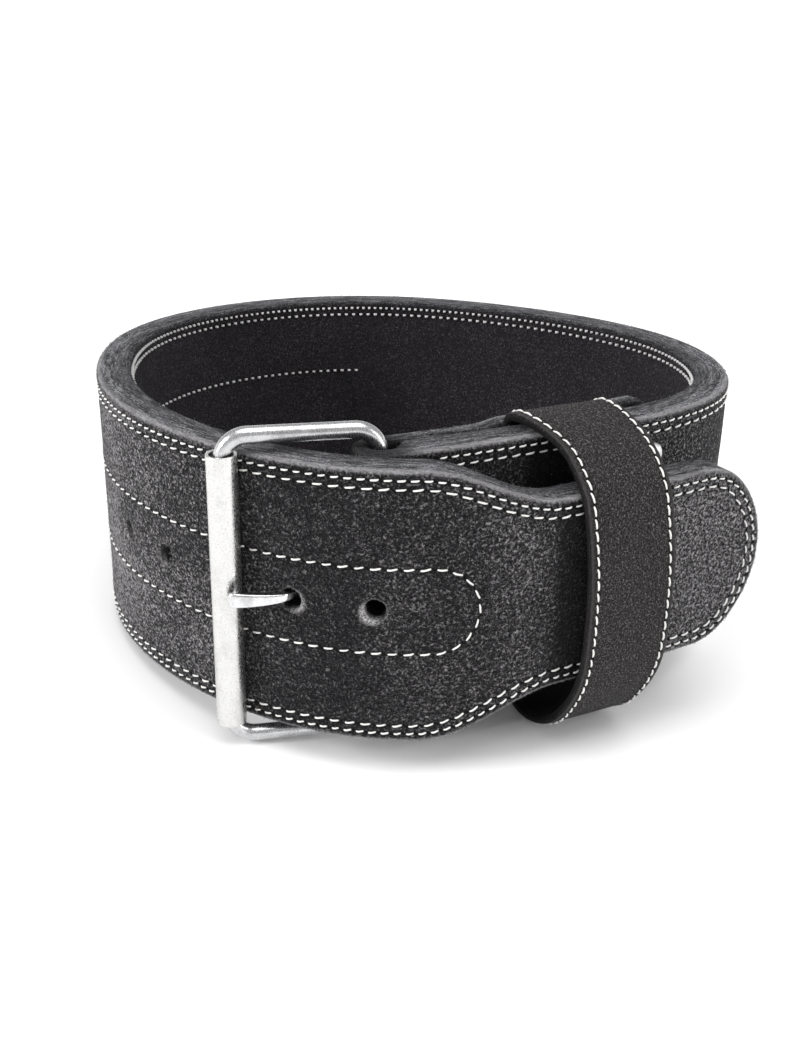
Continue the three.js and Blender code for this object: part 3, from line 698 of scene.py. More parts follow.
def rounded(corners, radius, steps=4):
    """A closed (radius, height) profile with its corners rounded."""
    corners = [np.array(c, float) for c in corners]
    n = len(corners)
    line = []
    for i in range(n):
        before, here, after = corners[i - 1], corners[i], corners[(i + 1) % n]
        a, b = before - here, after - here
        r = min(radius, np.linalg.norm(a) / 2.2, np.linalg.norm(b) / 2.2)
        p, q = here + a / np.linalg.norm(a) * r, here + b / np.linalg.norm(b) * r
        for t in np.linspace(0, 1, steps + 1):
            line.append((1 - t) ** 2 * p + 2 * t * (1 - t) * here + t ** 2 * q)
    return [tuple(p) for p in line] + [tuple(line[0])]


def build_roller():
    outer, half = ROLLER_DIAMETER / 2, ROLLER_LENGTH / 2
    inner = outer - ROLLER_WALL
    corners = [(inner, -half), (outer, -half)]
    corners += [(outer, z) for z in np.linspace(-half, half, 12)[1:-1]]
    corners += [(outer, half), (inner, half)]
    profile = rounded(corners, 0.4)
    return turned("roller_tube", profile, [*ROLLER, FRAME_MIDDLE], (0, 0, 1), 64)


def open_spline(points, count):
    n = len(points)
    padded = np.concatenate([[2 * points[0] - points[1]], points, [2 * points[-1] - points[-2]]])
    fine = []
    for i in range(n - 1):
        p = padded[i:i + 4]
        gaps = [max(np.linalg.norm(p[k + 1] - p[k]) ** 0.5, 1e-6) for k in range(3)]
        m1 = (p[1] - p[0]) / gaps[0] - (p[2] - p[0]) / (gaps[0] + gaps[1]) + (p[2] - p[1]) / gaps[1]
        m2 = (p[2] - p[1]) / gaps[1] - (p[3] - p[1]) / (gaps[1] + gaps[2]) + (p[3] - p[2]) / gaps[2]
        m1, m2 = m1 * gaps[1], m2 * gaps[1]
        for t in np.linspace(0, 1, 30, endpoint=i == n - 2):
            fine.append((2 * t ** 3 - 3 * t ** 2 + 1) * p[1] + (t ** 3 - 2 * t ** 2 + t) * m1
                        + (-2 * t ** 3 + 3 * t ** 2) * p[2] + (t ** 3 - t ** 2) * m2)
    fine = np.array(fine)
    share = np.linspace(0, 1, count)
    at = share * (len(fine) - 1)
    return np.stack([np.interp(at, np.arange(len(fine)), fine[:, k]) for k in range(fine.shape[1])], -1)


def super_oval(wide, high, power, count):
    a = 2 * np.pi * np.arange(count) / count
    c, s = np.cos(a), np.sin(a)
    return np.stack([wide / 2 * np.sign(c) * abs(c) ** power, high / 2 * np.sign(s) * abs(s) ** power], -1)


def build_prong():
    base = PRONG_LINE[:, 0] * FRAME_LENGTH
    line = np.stack([base, PRONG_LINE[:, 1], PRONG_LINE[:, 2], PRONG_LINE[:, 3]], -1)
    # The bar starts inside the eye's wall and ends in a rounded tip
    rows = open_spline(line, 96)
    along, out, deep, high = rows.T
    lifts = PRONG_LIFT * smooth(0.44 * FRAME_LENGTH, 0.66 * FRAME_LENGTH, along)
    centres = [np.array([*(PIVOT + TO_ROLLER * u + FRAME_OUT * v), MIDDLE + lift])
               for u, v, lift in zip(along, out, lifts)]
    tangent = np.gradient(np.stack([along, out], -1), axis=0)
    tangent /= np.linalg.norm(tangent, axis=1)[:, None]
    sideways = [np.array([*(TO_ROLLER * -t[1] + FRAME_OUT * t[0]), 0.0]) for t in tangent]
    upwards = [np.array([0, 0, 1.0])] * len(rows)
    reach = along[-1] - along
    ease = np.sqrt(np.clip(1 - np.clip(1 - reach / 2.6, 0, 1) ** 2, 0.02, 1))
    sections = [super_oval(d * e, h * e, 0.5, 40) for d, h, e in zip(deep, high, ease)]
    bar = sweep("prong_bar", centres, sideways, upwards, sections, False)
    inner = WIRE / 2 + WIRE_FIT - 0.1
    outer = inner + EYE_WALL
    half = EYE_HEIGHT / 2
    ring = rounded([(inner, -half), (outer, -half), (outer, half), (inner, half)], 0.7)
    eye = turned("prong_eye", ring, [*PIVOT, MIDDLE], (0, 0, 1), 48)
    bore = turned("prong_bore", [(0, -half - 2), (inner, -half - 2), (inner, half + 2), (0, half + 2)],
                  [*PIVOT, MIDDLE], (0, 0, 1), 48)
    return joined(joined(bar, bore, "DIFFERENCE"), eye, "UNION")


def joined(a, b, how):
    step = a.modifiers.new("join", "BOOLEAN")
    step.operation, step.object, step.solver = how, b, "EXACT"
    evaluated = a.evaluated_get(bpy.context.evaluated_depsgraph_get())
    mesh = bpy.data.meshes.new_from_object(evaluated)
    a.modifiers.clear()
    a.data = mesh
    bpy.data.objects.remove(b)
    return a


def build_rivet(name, at, z):
    point, _, out = outer_face(at)
    grip = float(flap_depth(at))
    head, shank, burr = RIVET_HEAD / 2, RIVET_SHANK / 2, RIVET_BURR / 2
    profile = [(0.0, SLACK + RIVET_DOME)]
    for a in np.linspace(0, math.pi / 2, 12)[1:]:
        profile.append((head * math.sin(a), SLACK + 0.35 + (RIVET_DOME - 0.35) * math.cos(a)))
    back = -grip - 2 * SLACK
    profile += [(head - 0.1, SLACK + 0.1), (head - 0.4, SLACK), (shank, SLACK), (shank, back),
                (burr - 0.3, back), (burr, back - 0.3), (burr, back - BURR_HEIGHT + 0.3),
                (burr - 0.3, back - BURR_HEIGHT), (2.0, back - BURR_HEIGHT), (1.7, back - BURR_HEIGHT - 0.5),
                (0.8, back - BURR_HEIGHT - 0.7), (0.0, back - BURR_HEIGHT - 0.72)]
    return turned(name, profile, [*point, z], [*out, 0.0], 36)


def edged(piece, degrees=35):
    """Smooth faces, with the edges sharper than this kept sharp."""
    mesh = piece.data
    mesh.shade_smooth()
    mesh.set_sharp_from_angle(angle=math.radians(degrees))
    return piece


def face_outward(piece):
    work = bmesh.new()
    work.from_mesh(piece.data)
    bmesh.ops.remove_doubles(work, verts=work.verts, dist=1e-6)
    bmesh.ops.recalc_face_normals(work, faces=work.faces)
    if work.calc_volume(signed=True) < 0:
        bmesh.ops.reverse_faces(work, faces=work.faces)
    work.to_mesh(piece.data)
    work.free()
    piece.data.update()
    return piece


# Stitching

def path_places(path, pitch, closed):
    """Even places along a flat path, and the direction of the path there."""
    if closed:
        path = np.concatenate([path, path[:1]])
    length = np.concatenate([[0], np.cumsum(np.linalg.norm(np.diff(path, axis=0), axis=1))])
    count = int(round(length[-1] / pitch))
    at = (np.arange(count) + 0.5) * length[-1] / count
    take = lambda s: np.stack([np.interp(s, length, path[:, k]) for k in (0, 1)], -1)
    here = take(at)
    ahead = take(np.clip(at + 0.4, 0, length[-1])) - take(np.clip(at - 0.4, 0, length[-1]))
    return here, ahead / np.linalg.norm(ahead, axis=1)[:, None]


def edge_row(inset):
    keep = OUTLINE[:, 0] >= ribbon_at(EDGE_ROWS_FROM)
    along, rise, oa, orr = OUTLINE[keep].T
    upper = np.stack([along - inset * oa, rise - inset * orr], -1)
    return np.concatenate([upper, upper[::-1] * [1, -1]])


def slot_row(start):
    end = ribbon_at(SLOT_TO)
    turn = np.linspace(-math.pi / 2, math.pi / 2, 40)
    right = np.stack([end + SLOT_HALF * np.cos(turn), SLOT_HALF * np.sin(turn)], -1)
    left = np.stack([start - SLOT_HALF * np.cos(turn), -SLOT_HALF * np.sin(turn)], -1)
    return np.concatenate([right, left])


def strap_stitches(side):
    """Middle, thread direction and way out of each stitch on one side of the strap."""
    closer = WAIST_PITCH if side == "waist" else 1
    slot_start = ribbon_at(WAIST_SLOT_FROM if side == "waist" else SLOT_FROM + SLOT_HALF)
    rows = [(edge_row(inset), pitch * closer, False) for inset, pitch in EDGE_ROWS.values()]
    rows.append((slot_row(slot_start), SLOT_PITCH * closer, True))
    middles, threads, outs, lengths = [], [], [], []
    for path, pitch, closed in rows:
        here, ahead = path_places(path, pitch, closed)
        if closed and side == "waist":
            straight = here[:, 0] > slot_start
            here, ahead = here[straight], ahead[straight]
        sink = lie(*here.T, edge_distance(*here.T))
        deep = lambda p: thickness_at(p[:, 0]) - sink if side == "waist" else sink
        point = lambda p: wind(p[:, 0], p[:, 1], deep(p))
        step = 0.5
        thread = point(here + ahead * step) - point(here - ahead * step)
        size = np.linalg.norm(thread, axis=1)
        thread /= size[:, None]
        inward = wind(here[:, 0], here[:, 1], deep(here) + 1) - wind(here[:, 0], here[:, 1], deep(here))
        inward /= np.linalg.norm(inward, axis=1)[:, None]
        middles.append(point(here))
        threads.append(thread)
        outs.append(inward if side == "waist" else -inward)
        lengths.append(pitch * size / (2 * step))
    return tuple(np.concatenate(v) for v in (middles, threads, outs, lengths))


def loop_stitches():
    middles, threads, outs, lengths = [], [], [], []
    for across in (LOOP_WIDTH / 2 - LOOP_ROW_INSET, -LOOP_WIDTH / 2 + LOOP_ROW_INSET):
        count = int(round(LOOP_ROUND_LENGTH / LOOP_PITCH))
        at = (np.arange(count) + 0.5) * LOOP_ROUND_LENGTH / count
        row = np.full(count, across)
        point = lambda a, d=0.0: loop_skin(a, row, np.full(count, d))
        thread = point(at + 0.5) - point(at - 0.5)
        size = np.linalg.norm(thread, axis=1)
        out = point(at) - point(at, 1.0)
        middles.append(point(at))
        threads.append(thread / size[:, None])
        outs.append(out / np.linalg.norm(out, axis=1)[:, None])
        lengths.append(LOOP_PITCH * size)
    return tuple(np.concatenate(v) for v in (middles, threads, outs, lengths))


def stitch_shape(name, radius, share, arch, strands):
    """One stitch of a unit pitch, its ends drawn down into the needle holes: x along, z out."""
    rings, around = 8, 9
    points, faces = [], []
    for i in range(rings):
        t = i / (rings - 1) * 2 - 1
        size = radius * math.sqrt(max(0.03, 1 - abs(t) ** 5))
        height = arch * (1 - t * t) - 0.35 * abs(t) ** 3 * arch - 0.15
        for k in range(around):
            a = 2 * math.pi * k / around
            lay = 1 + 0.16 * math.cos(strands * a - 5.2 * t)
            points.append((t * share / 2, size * lay * math.cos(a), height + size * lay * math.sin(a)))
    for i in range(rings - 1):
        for k in range(around):
            m = (k + 1) % around
            faces.append((i * around + k, (i + 1) * around + k, (i + 1) * around + m, i * around + m))
    faces.append(tuple(range(around)))
    faces.append(tuple((rings - 1) * around + k for k in reversed(range(around))))
    mesh = bpy.data.meshes.new(name)
    mesh.from_pydata((np.array(points) / 1000).tolist(), [], faces)
    mesh.shade_smooth()
    shape = bpy.data.objects.new(name, mesh)
    bpy.context.scene.collection.objects.link(shape)
    return face_outward(shape)


def pit_shape():
    """A needle's slit: a low dark lens of painted shadow on the leather, drawn out along the thread."""
    rows = [(0.0, 0.09), (0.42, 0.075), (0.64, 0.02), (0.72, -0.08)]
    around = 9
    points, faces = [(0, 0, rows[0][1])], []
    for radius, height in rows[1:]:
        for k in range(around):
            a = 2 * math.pi * k / around
            points.append((radius * 1.25 * math.cos(a), radius * 0.8 * math.sin(a), height))
    for k in range(around):
        m = (k + 1) % around
        faces.append((0, 1 + k, 1 + m))
        for r in range(len(rows) - 2):
            near, far = 1 + r * around, 1 + (r + 1) * around
            faces.append((near + k, far + k, far + m, near + m))
    faces.append(tuple(range(len(points) - 1, len(points) - 1 - around, -1)))
    mesh = bpy.data.meshes.new("needle_hole")
    mesh.from_pydata((np.array(points) / 1000).tolist(), [], faces)
    mesh.shade_smooth()
    shape = bpy.data.objects.new("needle_hole", mesh)
    bpy.context.scene.collection.objects.link(shape)
    return face_outward(shape)


def sewing_tree():
    """Sets one shape at every place, turned along its thread, with small differences."""
    tree = bpy.data.node_groups.new("sewing", "GeometryNodeTree")
    face = tree.interface
    face.new_socket("Places", in_out="INPUT", socket_type="NodeSocketGeometry")
    face.new_socket("Shape", in_out="INPUT", socket_type="NodeSocketObject")
    face.new_socket("Material", in_out="INPUT", socket_type="NodeSocketMaterial")
    for name, value in (("Size unevenness", 0.08), ("Turn unevenness", 0.05), ("Slant", 0.0)):
        face.new_socket(name, in_out="INPUT", socket_type="NodeSocketFloat").default_value = value
    face.new_socket("Seed", in_out="INPUT", socket_type="NodeSocketInt").default_value = 3
    face.new_socket("Sewn", in_out="OUTPUT", socket_type="NodeSocketGeometry")
    nodes, link = tree.nodes, tree.links.new
    given, made = nodes.new("NodeGroupInput"), nodes.new("NodeGroupOutput")

    def named(name, kind="FLOAT_VECTOR"):
        node = nodes.new("GeometryNodeInputNamedAttribute")
        node.data_type = kind
        node.inputs["Name"].default_value = name
        return node.outputs["Attribute"]

    def around_zero(reach, seed_step):
        node = nodes.new("FunctionNodeRandomValue")
        node.data_type = "FLOAT"
        low = nodes.new("ShaderNodeMath")
        low.operation = "MULTIPLY"
        low.inputs[1].default_value = -1
        link(reach, low.inputs[0])
        link(low.outputs[0], node.inputs[2])
        link(reach, node.inputs[3])
        step = nodes.new("ShaderNodeMath")
        step.inputs[1].default_value = seed_step
        link(given.outputs["Seed"], step.inputs[0])
        link(step.outputs[0], node.inputs["Seed"])
        return node.outputs[1]

    first = nodes.new("FunctionNodeAlignRotationToVector")
    first.axis = "Z"
    link(named("way_out"), first.inputs["Vector"])
    second = nodes.new("FunctionNodeAlignRotationToVector")
    second.axis, second.pivot_axis = "X", "Z"
    link(first.outputs[0], second.inputs["Rotation"])
    link(named("thread_way"), second.inputs["Vector"])
    turn = nodes.new("ShaderNodeMath")
    link(around_zero(given.outputs["Turn unevenness"], 11), turn.inputs[0])
    link(given.outputs["Slant"], turn.inputs[1])
    lean = nodes.new("ShaderNodeCombineXYZ")
    link(turn.outputs[0], lean.inputs["Z"])
    spin = nodes.new("FunctionNodeRotateRotation")
    spin.rotation_space = "LOCAL"
    link(second.outputs[0], spin.inputs["Rotation"])
    as_turn = nodes.new("FunctionNodeEulerToRotation")
    link(lean.outputs[0], as_turn.inputs[0])
    link(as_turn.outputs[0], spin.inputs["Rotate By"])
    grown = nodes.new("ShaderNodeMath")
    grown.inputs[1].default_value = 1
    link(around_zero(given.outputs["Size unevenness"], 5), grown.inputs[0])
    sizes = nodes.new("ShaderNodeVectorMath")
    sizes.operation = "SCALE"
    link(named("shape_size"), sizes.inputs[0])
    link(grown.outputs[0], sizes.inputs["Scale"])
    points = nodes.new("GeometryNodeMeshToPoints")
    link(given.outputs["Places"], points.inputs["Mesh"])
    shape = nodes.new("GeometryNodeObjectInfo")
    link(given.outputs["Shape"], shape.inputs["Object"])
    place = nodes.new("GeometryNodeInstanceOnPoints")
    link(points.outputs[0], place.inputs["Points"])
    link(shape.outputs["Geometry"], place.inputs["Instance"])
    link(spin.outputs[0], place.inputs["Rotation"])
    link(sizes.outputs[0], place.inputs["Scale"])
    real = nodes.new("GeometryNodeRealizeInstances")
    link(place.outputs[0], real.inputs[0])
    paint = nodes.new("GeometryNodeSetMaterial")
    link(real.outputs[0], paint.inputs["Geometry"])
    link(given.outputs["Material"], paint.inputs["Material"])
    link(paint.outputs[0], made.inputs["Sewn"])
    return tree


SEWING = sewing_tree()


def sew(name, places, shape, material, **settings):
    """A plain mesh of one shape at each place. places: middles, thread ways, ways out, sizes (x, y, z)."""
    middles, threads, outs, sizes = places
    mesh = bpy.data.meshes.new(name)
    mesh.from_pydata(set_down(middles).tolist(), [], [])
    for key, values in (("thread_way", set_down_direction(threads)),
                        ("way_out", set_down_direction(outs)), ("shape_size", sizes)):
        mesh.attributes.new(key, "FLOAT_VECTOR", "POINT").data.foreach_set(
            "vector", np.asarray(values, np.float32).ravel())
    piece = bpy.data.objects.new(name, mesh)
    bpy.context.scene.collection.objects.link(piece)
    step = piece.modifiers.new("sewing", "NODES")
    step.node_group = SEWING
    sockets = {s.name: s.identifier for s in SEWING.interface.items_tree if s.in_out == "INPUT"}
    step[sockets["Shape"]] = shape
    step[sockets["Material"]] = material
    for key, value in settings.items():
        step[sockets[key.replace("_", " ").capitalize()]] = value
    bpy.context.view_layer.update()
    made = bpy.data.meshes.new_from_object(piece.evaluated_get(bpy.context.evaluated_depsgraph_get()))
    made.name = name
    piece.modifiers.clear()
    piece.data = made
    for key in [a.name for a in made.attributes if a.name in ("thread_way", "way_out", "shape_size")]:
        made.attributes.remove(made.attributes[key])
    made.shade_smooth()
    return piece


def fibre_shape():
    """One leather fibre: a thin three-sided hair, leaning over to x, pointed."""
    points = []
    for x, z, size in ((0.0, -0.12, 0.075), (0.3, 0.32, 0.055)):
        for a in np.radians((90, 210, 330)):
            points.append((x + size * math.sin(a), size * math.cos(a), z))
    points.append((0.95, 0.0, 0.5))
    faces = [(2, 1, 0)] + [(k, (k + 1) % 3, 3 + (k + 1) % 3, 3 + k) for k in range(3)]
    faces += [(3 + k, 3 + (k + 1) % 3, 6) for k in range(3)]
    mesh = bpy.data.meshes.new("fibre")
    mesh.from_pydata((np.array(points) / 1000).tolist(), [], faces)
    mesh.shade_smooth()
    shape = bpy.data.objects.new("fibre", mesh)
    bpy.context.scene.collection.objects.link(shape)
    return face_outward(shape)


def ways_at(along, rise, depth):
    """Ways up, along and out at places on the laid-out strap."""
    step = lambda a, r, d: wind(along + a, rise + r, depth + d) - wind(along - a, rise - r, depth - d)
    ways = [step(0, 0.5, 0), step(0.5, 0, 0), step(0, 0, -0.5)]
    return [v / np.linalg.norm(v, axis=1)[:, None] for v in ways]


def fibres(along, rise, depth, out_along, out_rise, out_face, chance, small, large):
    up, forward, face = ways_at(along, rise, depth)
    outs = forward * out_along[:, None] + up * out_rise[:, None] + face * out_face[:, None]
    turn = chance.uniform(0, 2 * math.pi, len(along))[:, None]
    threads = np.cos(turn) * forward + np.sin(turn) * up + 0.3 * face
    sizes = chance.uniform(small, large, len(along))[:, None] * np.ones(3)
    return wind(along, rise, depth), threads, outs, sizes


def corner_fibres(count, seed, waist=False):
    """Fibres along the rounded corner between a face and the cut edge."""
    chance = np.random.default_rng(seed)
    ring = outline_polyline()
    ahead = np.roll(ring, -1, 0) - np.roll(ring, 1, 0)
    ahead /= np.maximum(np.linalg.norm(ahead, axis=1), 1e-6)[:, None]
    pick = chance.integers(0, len(ring), count)
    out_along, out_rise = -ahead[pick, 1], ahead[pick, 0]
    inset = EDGE_ROUND * chance.uniform(0.02, 1.2, count) ** 0.8
    over = np.clip(EDGE_ROUND - inset, 0, EDGE_ROUND)
    depth = EDGE_ROUND - np.sqrt(EDGE_ROUND ** 2 - over ** 2)
    along = ring[pick, 0] - out_along * inset
    rise = ring[pick, 1] - out_rise * inset
    share = over / EDGE_ROUND
    toward_face = np.sqrt(1 - share ** 2)
    if waist:
        depth, toward_face = thickness_at(along) - depth, -toward_face
    keep = (along > ribbon_at(8)) | (along < 100)
    values = (along, rise, depth, out_along * share, out_rise * share, toward_face)
    return fibres(*(v[keep] for v in values), chance, 0.5, 1.15)


def face_fibres(count, seed):
    """Fibres that stand up from the nap of the outer face, most of them left of the tongue's tip."""
    chance = np.random.default_rng(seed)
    along = ribbon_at(np.where(chance.random(count) < 0.75, chance.uniform(540, 905, count),
                               chance.uniform(20, 540, count)))
    half = np.where(along > ribbon_at(SHOULDER_START), NARROW, HALF) - 2.5
    rise = half * chance.uniform(-1, 1, count)
    away = np.min([np.hypot(along - hole, rise) for hole in HOLES], axis=0)
    keep = away > HOLE_DIAMETER / 2 + 1
    along, rise = along[keep], rise[keep]
    zero = 0 * along
    return fibres(along, rise, zero, zero, zero, zero + 1, chance, 0.35, 0.85)


def rim_fibres(count, seed):
    """Fibres pushed out round the holes."""
    chance = np.random.default_rng(seed)
    hole = np.array(HOLES)[chance.integers(0, 5, count)]
    turn = chance.uniform(0, 2 * math.pi, count)
    away = HOLE_DIAMETER / 2 + chance.uniform(0.5, 2.6, count)
    along, rise = hole + away * np.cos(turn), away * np.sin(turn)
    zero = 0 * along
    return fibres(along, rise, zero, zero, zero, zero + 1, chance, 0.5, 1.1)


def between(places):
    """The needle holes: one between each stitch and the next of its row."""
    middles, threads, outs, lengths = places
    return middles - threads * lengths[:, None] / 2, threads, outs, lengths


# Shader groups

def group(name, inputs, outputs):
    tree = bpy.data.node_groups.new(name, "ShaderNodeTree")
    for label, kind, value in inputs:
        socket = tree.interface.new_socket(label, in_out="INPUT", socket_type=kind)
        if value is not None:
            socket.default_value = value
    for label, kind in outputs:
        tree.interface.new_socket(label, in_out="OUTPUT", socket_type=kind)
    return tree, tree.nodes.new("NodeGroupInput"), tree.nodes.new("NodeGroupOutput")


class Wires:
    """Short ways to add shader nodes to a tree."""

    def __init__(self, tree):
        self.tree = tree

    def put(self, socket, value):
        if isinstance(value, bpy.types.NodeSocket):
            self.tree.links.new(value, socket)
        else:
            socket.default_value = value

    def math(self, how, a, b=0.0, c=0.0, clamp=False):
        node = self.tree.nodes.new("ShaderNodeMath")
        node.operation, node.use_clamp = how, clamp
        for socket, value in zip(node.inputs, (a, b, c)):
            self.put(socket, value)
        return node.outputs[0]

    def vector(self, how, a, b=(0, 0, 0), scale=None):
        node = self.tree.nodes.new("ShaderNodeVectorMath")
        node.operation = how
        self.put(node.inputs[0], a)
        if how == "SCALE":
            self.put(node.inputs["Scale"], scale)
        else:
            self.put(node.inputs[1], b)
        return node.outputs[0]

    def noise(self, where, scale, detail=2.0, rough=0.5, distort=0.0):
        node = self.tree.nodes.new("ShaderNodeTexNoise")
        for key, value in (("Vector", where), ("Scale", scale), ("Detail", detail), ("Roughness", rough),
                           ("Distortion", distort)):
            self.put(node.inputs[key], value)
        return node.outputs["Fac"]

    def bend(self, where, scale, reach):
        """The place, moved up to half of reach by noise."""
        node = self.tree.nodes.new("ShaderNodeTexNoise")
        self.put(node.inputs["Vector"], where)
        self.put(node.inputs["Scale"], scale)
        self.put(node.inputs["Detail"], 2.0)
        off = self.vector("SUBTRACT", node.outputs["Color"], (0.5, 0.5, 0.5))
        return self.vector("ADD", where, self.vector("SCALE", off, scale=reach))

    def cells(self, where, scale, feature="F1", random=1.0):
        node = self.tree.nodes.new("ShaderNodeTexVoronoi")
        node.feature = feature
        for key, value in (("Vector", where), ("Scale", scale), ("Randomness", random)):
            self.put(node.inputs[key], value)
        return node.outputs["Distance"]

    def ramp(self, value, low, high, to_low=0.0, to_high=1.0):
        node = self.tree.nodes.new("ShaderNodeMapRange")
        node.interpolation_type = "SMOOTHSTEP"
        for key, v in (("Value", value), ("From Min", low), ("From Max", high), ("To Min", to_low),
                       ("To Max", to_high)):
            self.put(node.inputs[key], v)
        return node.outputs["Result"]

    def mix(self, share, a, b):
        node = self.tree.nodes.new("ShaderNodeMix")
        node.data_type = "RGBA"
        node.clamp_factor = True
        self.put(node.inputs[0], share)
        self.put(node.inputs[6], a)
        self.put(node.inputs[7], b)
        return node.outputs[2]

    def blend(self, share, a, b):
        node = self.tree.nodes.new("ShaderNodeMix")
        node.data_type = "FLOAT"
        self.put(node.inputs[0], share)
        self.put(node.inputs[2], a)
        self.put(node.inputs[3], b)
        return node.outputs[0]

    def attribute(self, name, output="Fac"):
        node = self.tree.nodes.new("ShaderNodeAttribute")
        node.attribute_name = name
        return node.outputs[output]

    def use(self, tree, **values):
        node = self.tree.nodes.new("ShaderNodeGroup")
        node.node_tree = tree
        for key, value in values.items():
            self.put(node.inputs[key.replace("_", " ").capitalize()], value)
        return node


def nap_group():
    """Suede nap: short tangled fibres, light at their tips, dark between, patchy in places; its Lightness lifts or
    lowers the tips, and carries painted light and shade.
    """
    tree, given, made = group("suede nap", [
        ("Place", "NodeSocketVector", None), ("Ground", "NodeSocketColor", (0.008, 0.0075, 0.0085, 1)),
        ("Tips", "NodeSocketColor", (0.2, 0.195, 0.2, 1)), ("Grain size", "NodeSocketFloat", 1.0),
        ("Lightness", "NodeSocketFloat", 1.0), ("Clumping", "NodeSocketFloat", 1.0)],
        [("Colour", "NodeSocketColor"), ("Height", "NodeSocketFloat")])
    w = Wires(tree)
    where, grain, clumping = (given.outputs[k] for k in ("Place", "Grain size", "Clumping"))
    fine = w.math("DIVIDE", 1000.0, grain)
    bent = w.bend(where, w.math("MULTIPLY", fine, 0.5), w.math("MULTIPLY", grain, 0.0016))
    tangle = w.noise(bent, w.math("MULTIPLY", fine, 1.25), 5.0, 0.75, 0.5)
    relief = w.noise(bent, w.math("MULTIPLY", fine, 0.8), 1.6, 0.5, 0.4)
    clump = w.noise(where, w.math("MULTIPLY", fine, 0.3), 3.0, 0.6, 0.6)
    patch = w.noise(where, 26.0, 4.0, 0.6)
    low = w.math("ADD", w.math("MULTIPLY", w.math("SUBTRACT", clump, 0.5), 0.28),
                 w.ramp(patch, 0.25, 0.75, -0.04, 0.04))
    both = w.math("ADD", w.math("MULTIPLY", tangle, 0.42), w.math("MULTIPLY", relief, 0.34))
    both = w.math("ADD", both, w.math("ADD", 0.12, w.math("MULTIPLY", low, clumping)))
    # Lightness above or below 1 is painted light and shade: it shifts the nap toward its light tips or its dark
    # ground
    painted_light_lift = w.math("MULTIPLY", w.math("SUBTRACT", given.outputs["Lightness"], 1.0), 0.035)
    both = w.math("ADD", both, painted_light_lift)
    tips = w.ramp(both, 0.475, 0.625)
    tips = w.math("MULTIPLY", tips, tips)
    strands = []
    for scale, bias in ((0.85, 0.5), (1.15, 0.47)):
        field = w.noise(bent, w.math("MULTIPLY", fine, scale), 1.0, 0.4, 0.9)
        off = w.math("ABSOLUTE", w.math("SUBTRACT", field, bias))
        strands.append(w.ramp(off, 0.04, 0.006))
    breaks = w.ramp(w.noise(where, w.math("MULTIPLY", fine, 0.5), 2.0, 0.6, 0.4), 0.44, 0.58)
    strand = w.math("MAXIMUM", w.math("MULTIPLY", strands[0], breaks),
                    w.math("MULTIPLY", strands[1], w.math("SUBTRACT", 1.0, breaks)))
    strand = w.math("MULTIPLY", strand, w.ramp(both, 0.40, 0.56, 0.15, 1.0))
    share = w.math("ADD", w.math("MULTIPLY", tips, 0.95), w.math("MULTIPLY", strand, 0.5))
    share = w.math("MULTIPLY", share, w.math("MINIMUM", given.outputs["Lightness"], 1.3))
    w.put(made.inputs["Colour"], w.mix(share, given.outputs["Ground"], given.outputs["Tips"]))
    w.put(made.inputs["Height"], w.math("ADD", relief, w.math("MULTIPLY", tangle, 0.2)))
    return tree


def edge_group():
    """Burnished cut edge of stacked leather: streaks along the plies and open fibres."""
    tree, given, made = group("burnished edge", [
        ("Place", "NodeSocketVector", None), ("Dark", "NodeSocketColor", (0.012, 0.012, 0.0135, 1)),
        ("Light", "NodeSocketColor", (0.10, 0.10, 0.108, 1)), ("Lightness", "NodeSocketFloat", 1.0)],
        [("Colour", "NodeSocketColor"), ("Height", "NodeSocketFloat")])
    w = Wires(tree)
    where = w.bend(given.outputs["Place"], 140.0, 0.0012)
    streaks = w.noise(w.vector("MULTIPLY", where, (1.0, 9.0, 9.0)), 170.0, 6.0, 0.7, 0.3)
    broad = w.noise(w.vector("MULTIPLY", where, (1.0, 4.0, 7.0)), 55.0, 3.0, 0.5)
    specks = w.noise(where, 1300.0, 3.0, 0.7)
    threads = w.noise(w.vector("MULTIPLY", where, (1.0, 5.0, 5.0)), 520.0, 3.0, 0.7, 0.6)
    light = w.math("ADD", w.ramp(streaks, 0.45, 0.66, 0.0, 0.65), w.ramp(broad, 0.42, 0.66, 0.0, 0.25))
    light = w.math("ADD", light, w.ramp(threads, 0.52, 0.66, 0.0, 0.5))
    light = w.math("MULTIPLY", light, w.ramp(specks, 0.36, 0.62, 0.2, 1.35))
    light = w.math("MULTIPLY", light, given.outputs["Lightness"])
    w.put(made.inputs["Colour"], w.mix(light, given.outputs["Dark"], given.outputs["Light"]))
    ridges = w.noise(w.vector("MULTIPLY", where, (1.0, 6.0, 6.0)), 190.0, 2.0, 0.5, 0.3)
    w.put(made.inputs["Height"], w.math("ADD", ridges, w.math("MULTIPLY", specks, 0.12)))
    return tree


def groove_group():
    """Depth of the furrow that a row of stitches pulls into leather."""
    tree, given, made = group("stitch furrow", [
        ("Distance", "NodeSocketFloat", 0.0), ("Inset", "NodeSocketFloat", 0.003),
        ("Reach", "NodeSocketFloat", 0.0011)], [("Depth", "NodeSocketFloat")])
    w = Wires(tree)
    off = w.math("DIVIDE", w.math("SUBTRACT", given.outputs["Distance"], given.outputs["Inset"]),
                 given.outputs["Reach"])
    bell = w.math("POWER", 2.718, w.math("MULTIPLY", w.math("MULTIPLY", off, off), -1.0))
    w.put(made.inputs["Depth"], bell)
    return tree


NAP, EDGE, FURROW = nap_group(), edge_group(), groove_group()


def new_material(name):
    material = bpy.data.materials.new(name)
    material.use_nodes = True
    tree = material.node_tree
    shader = tree.nodes["Principled BSDF"]
    return material, Wires(tree), shader


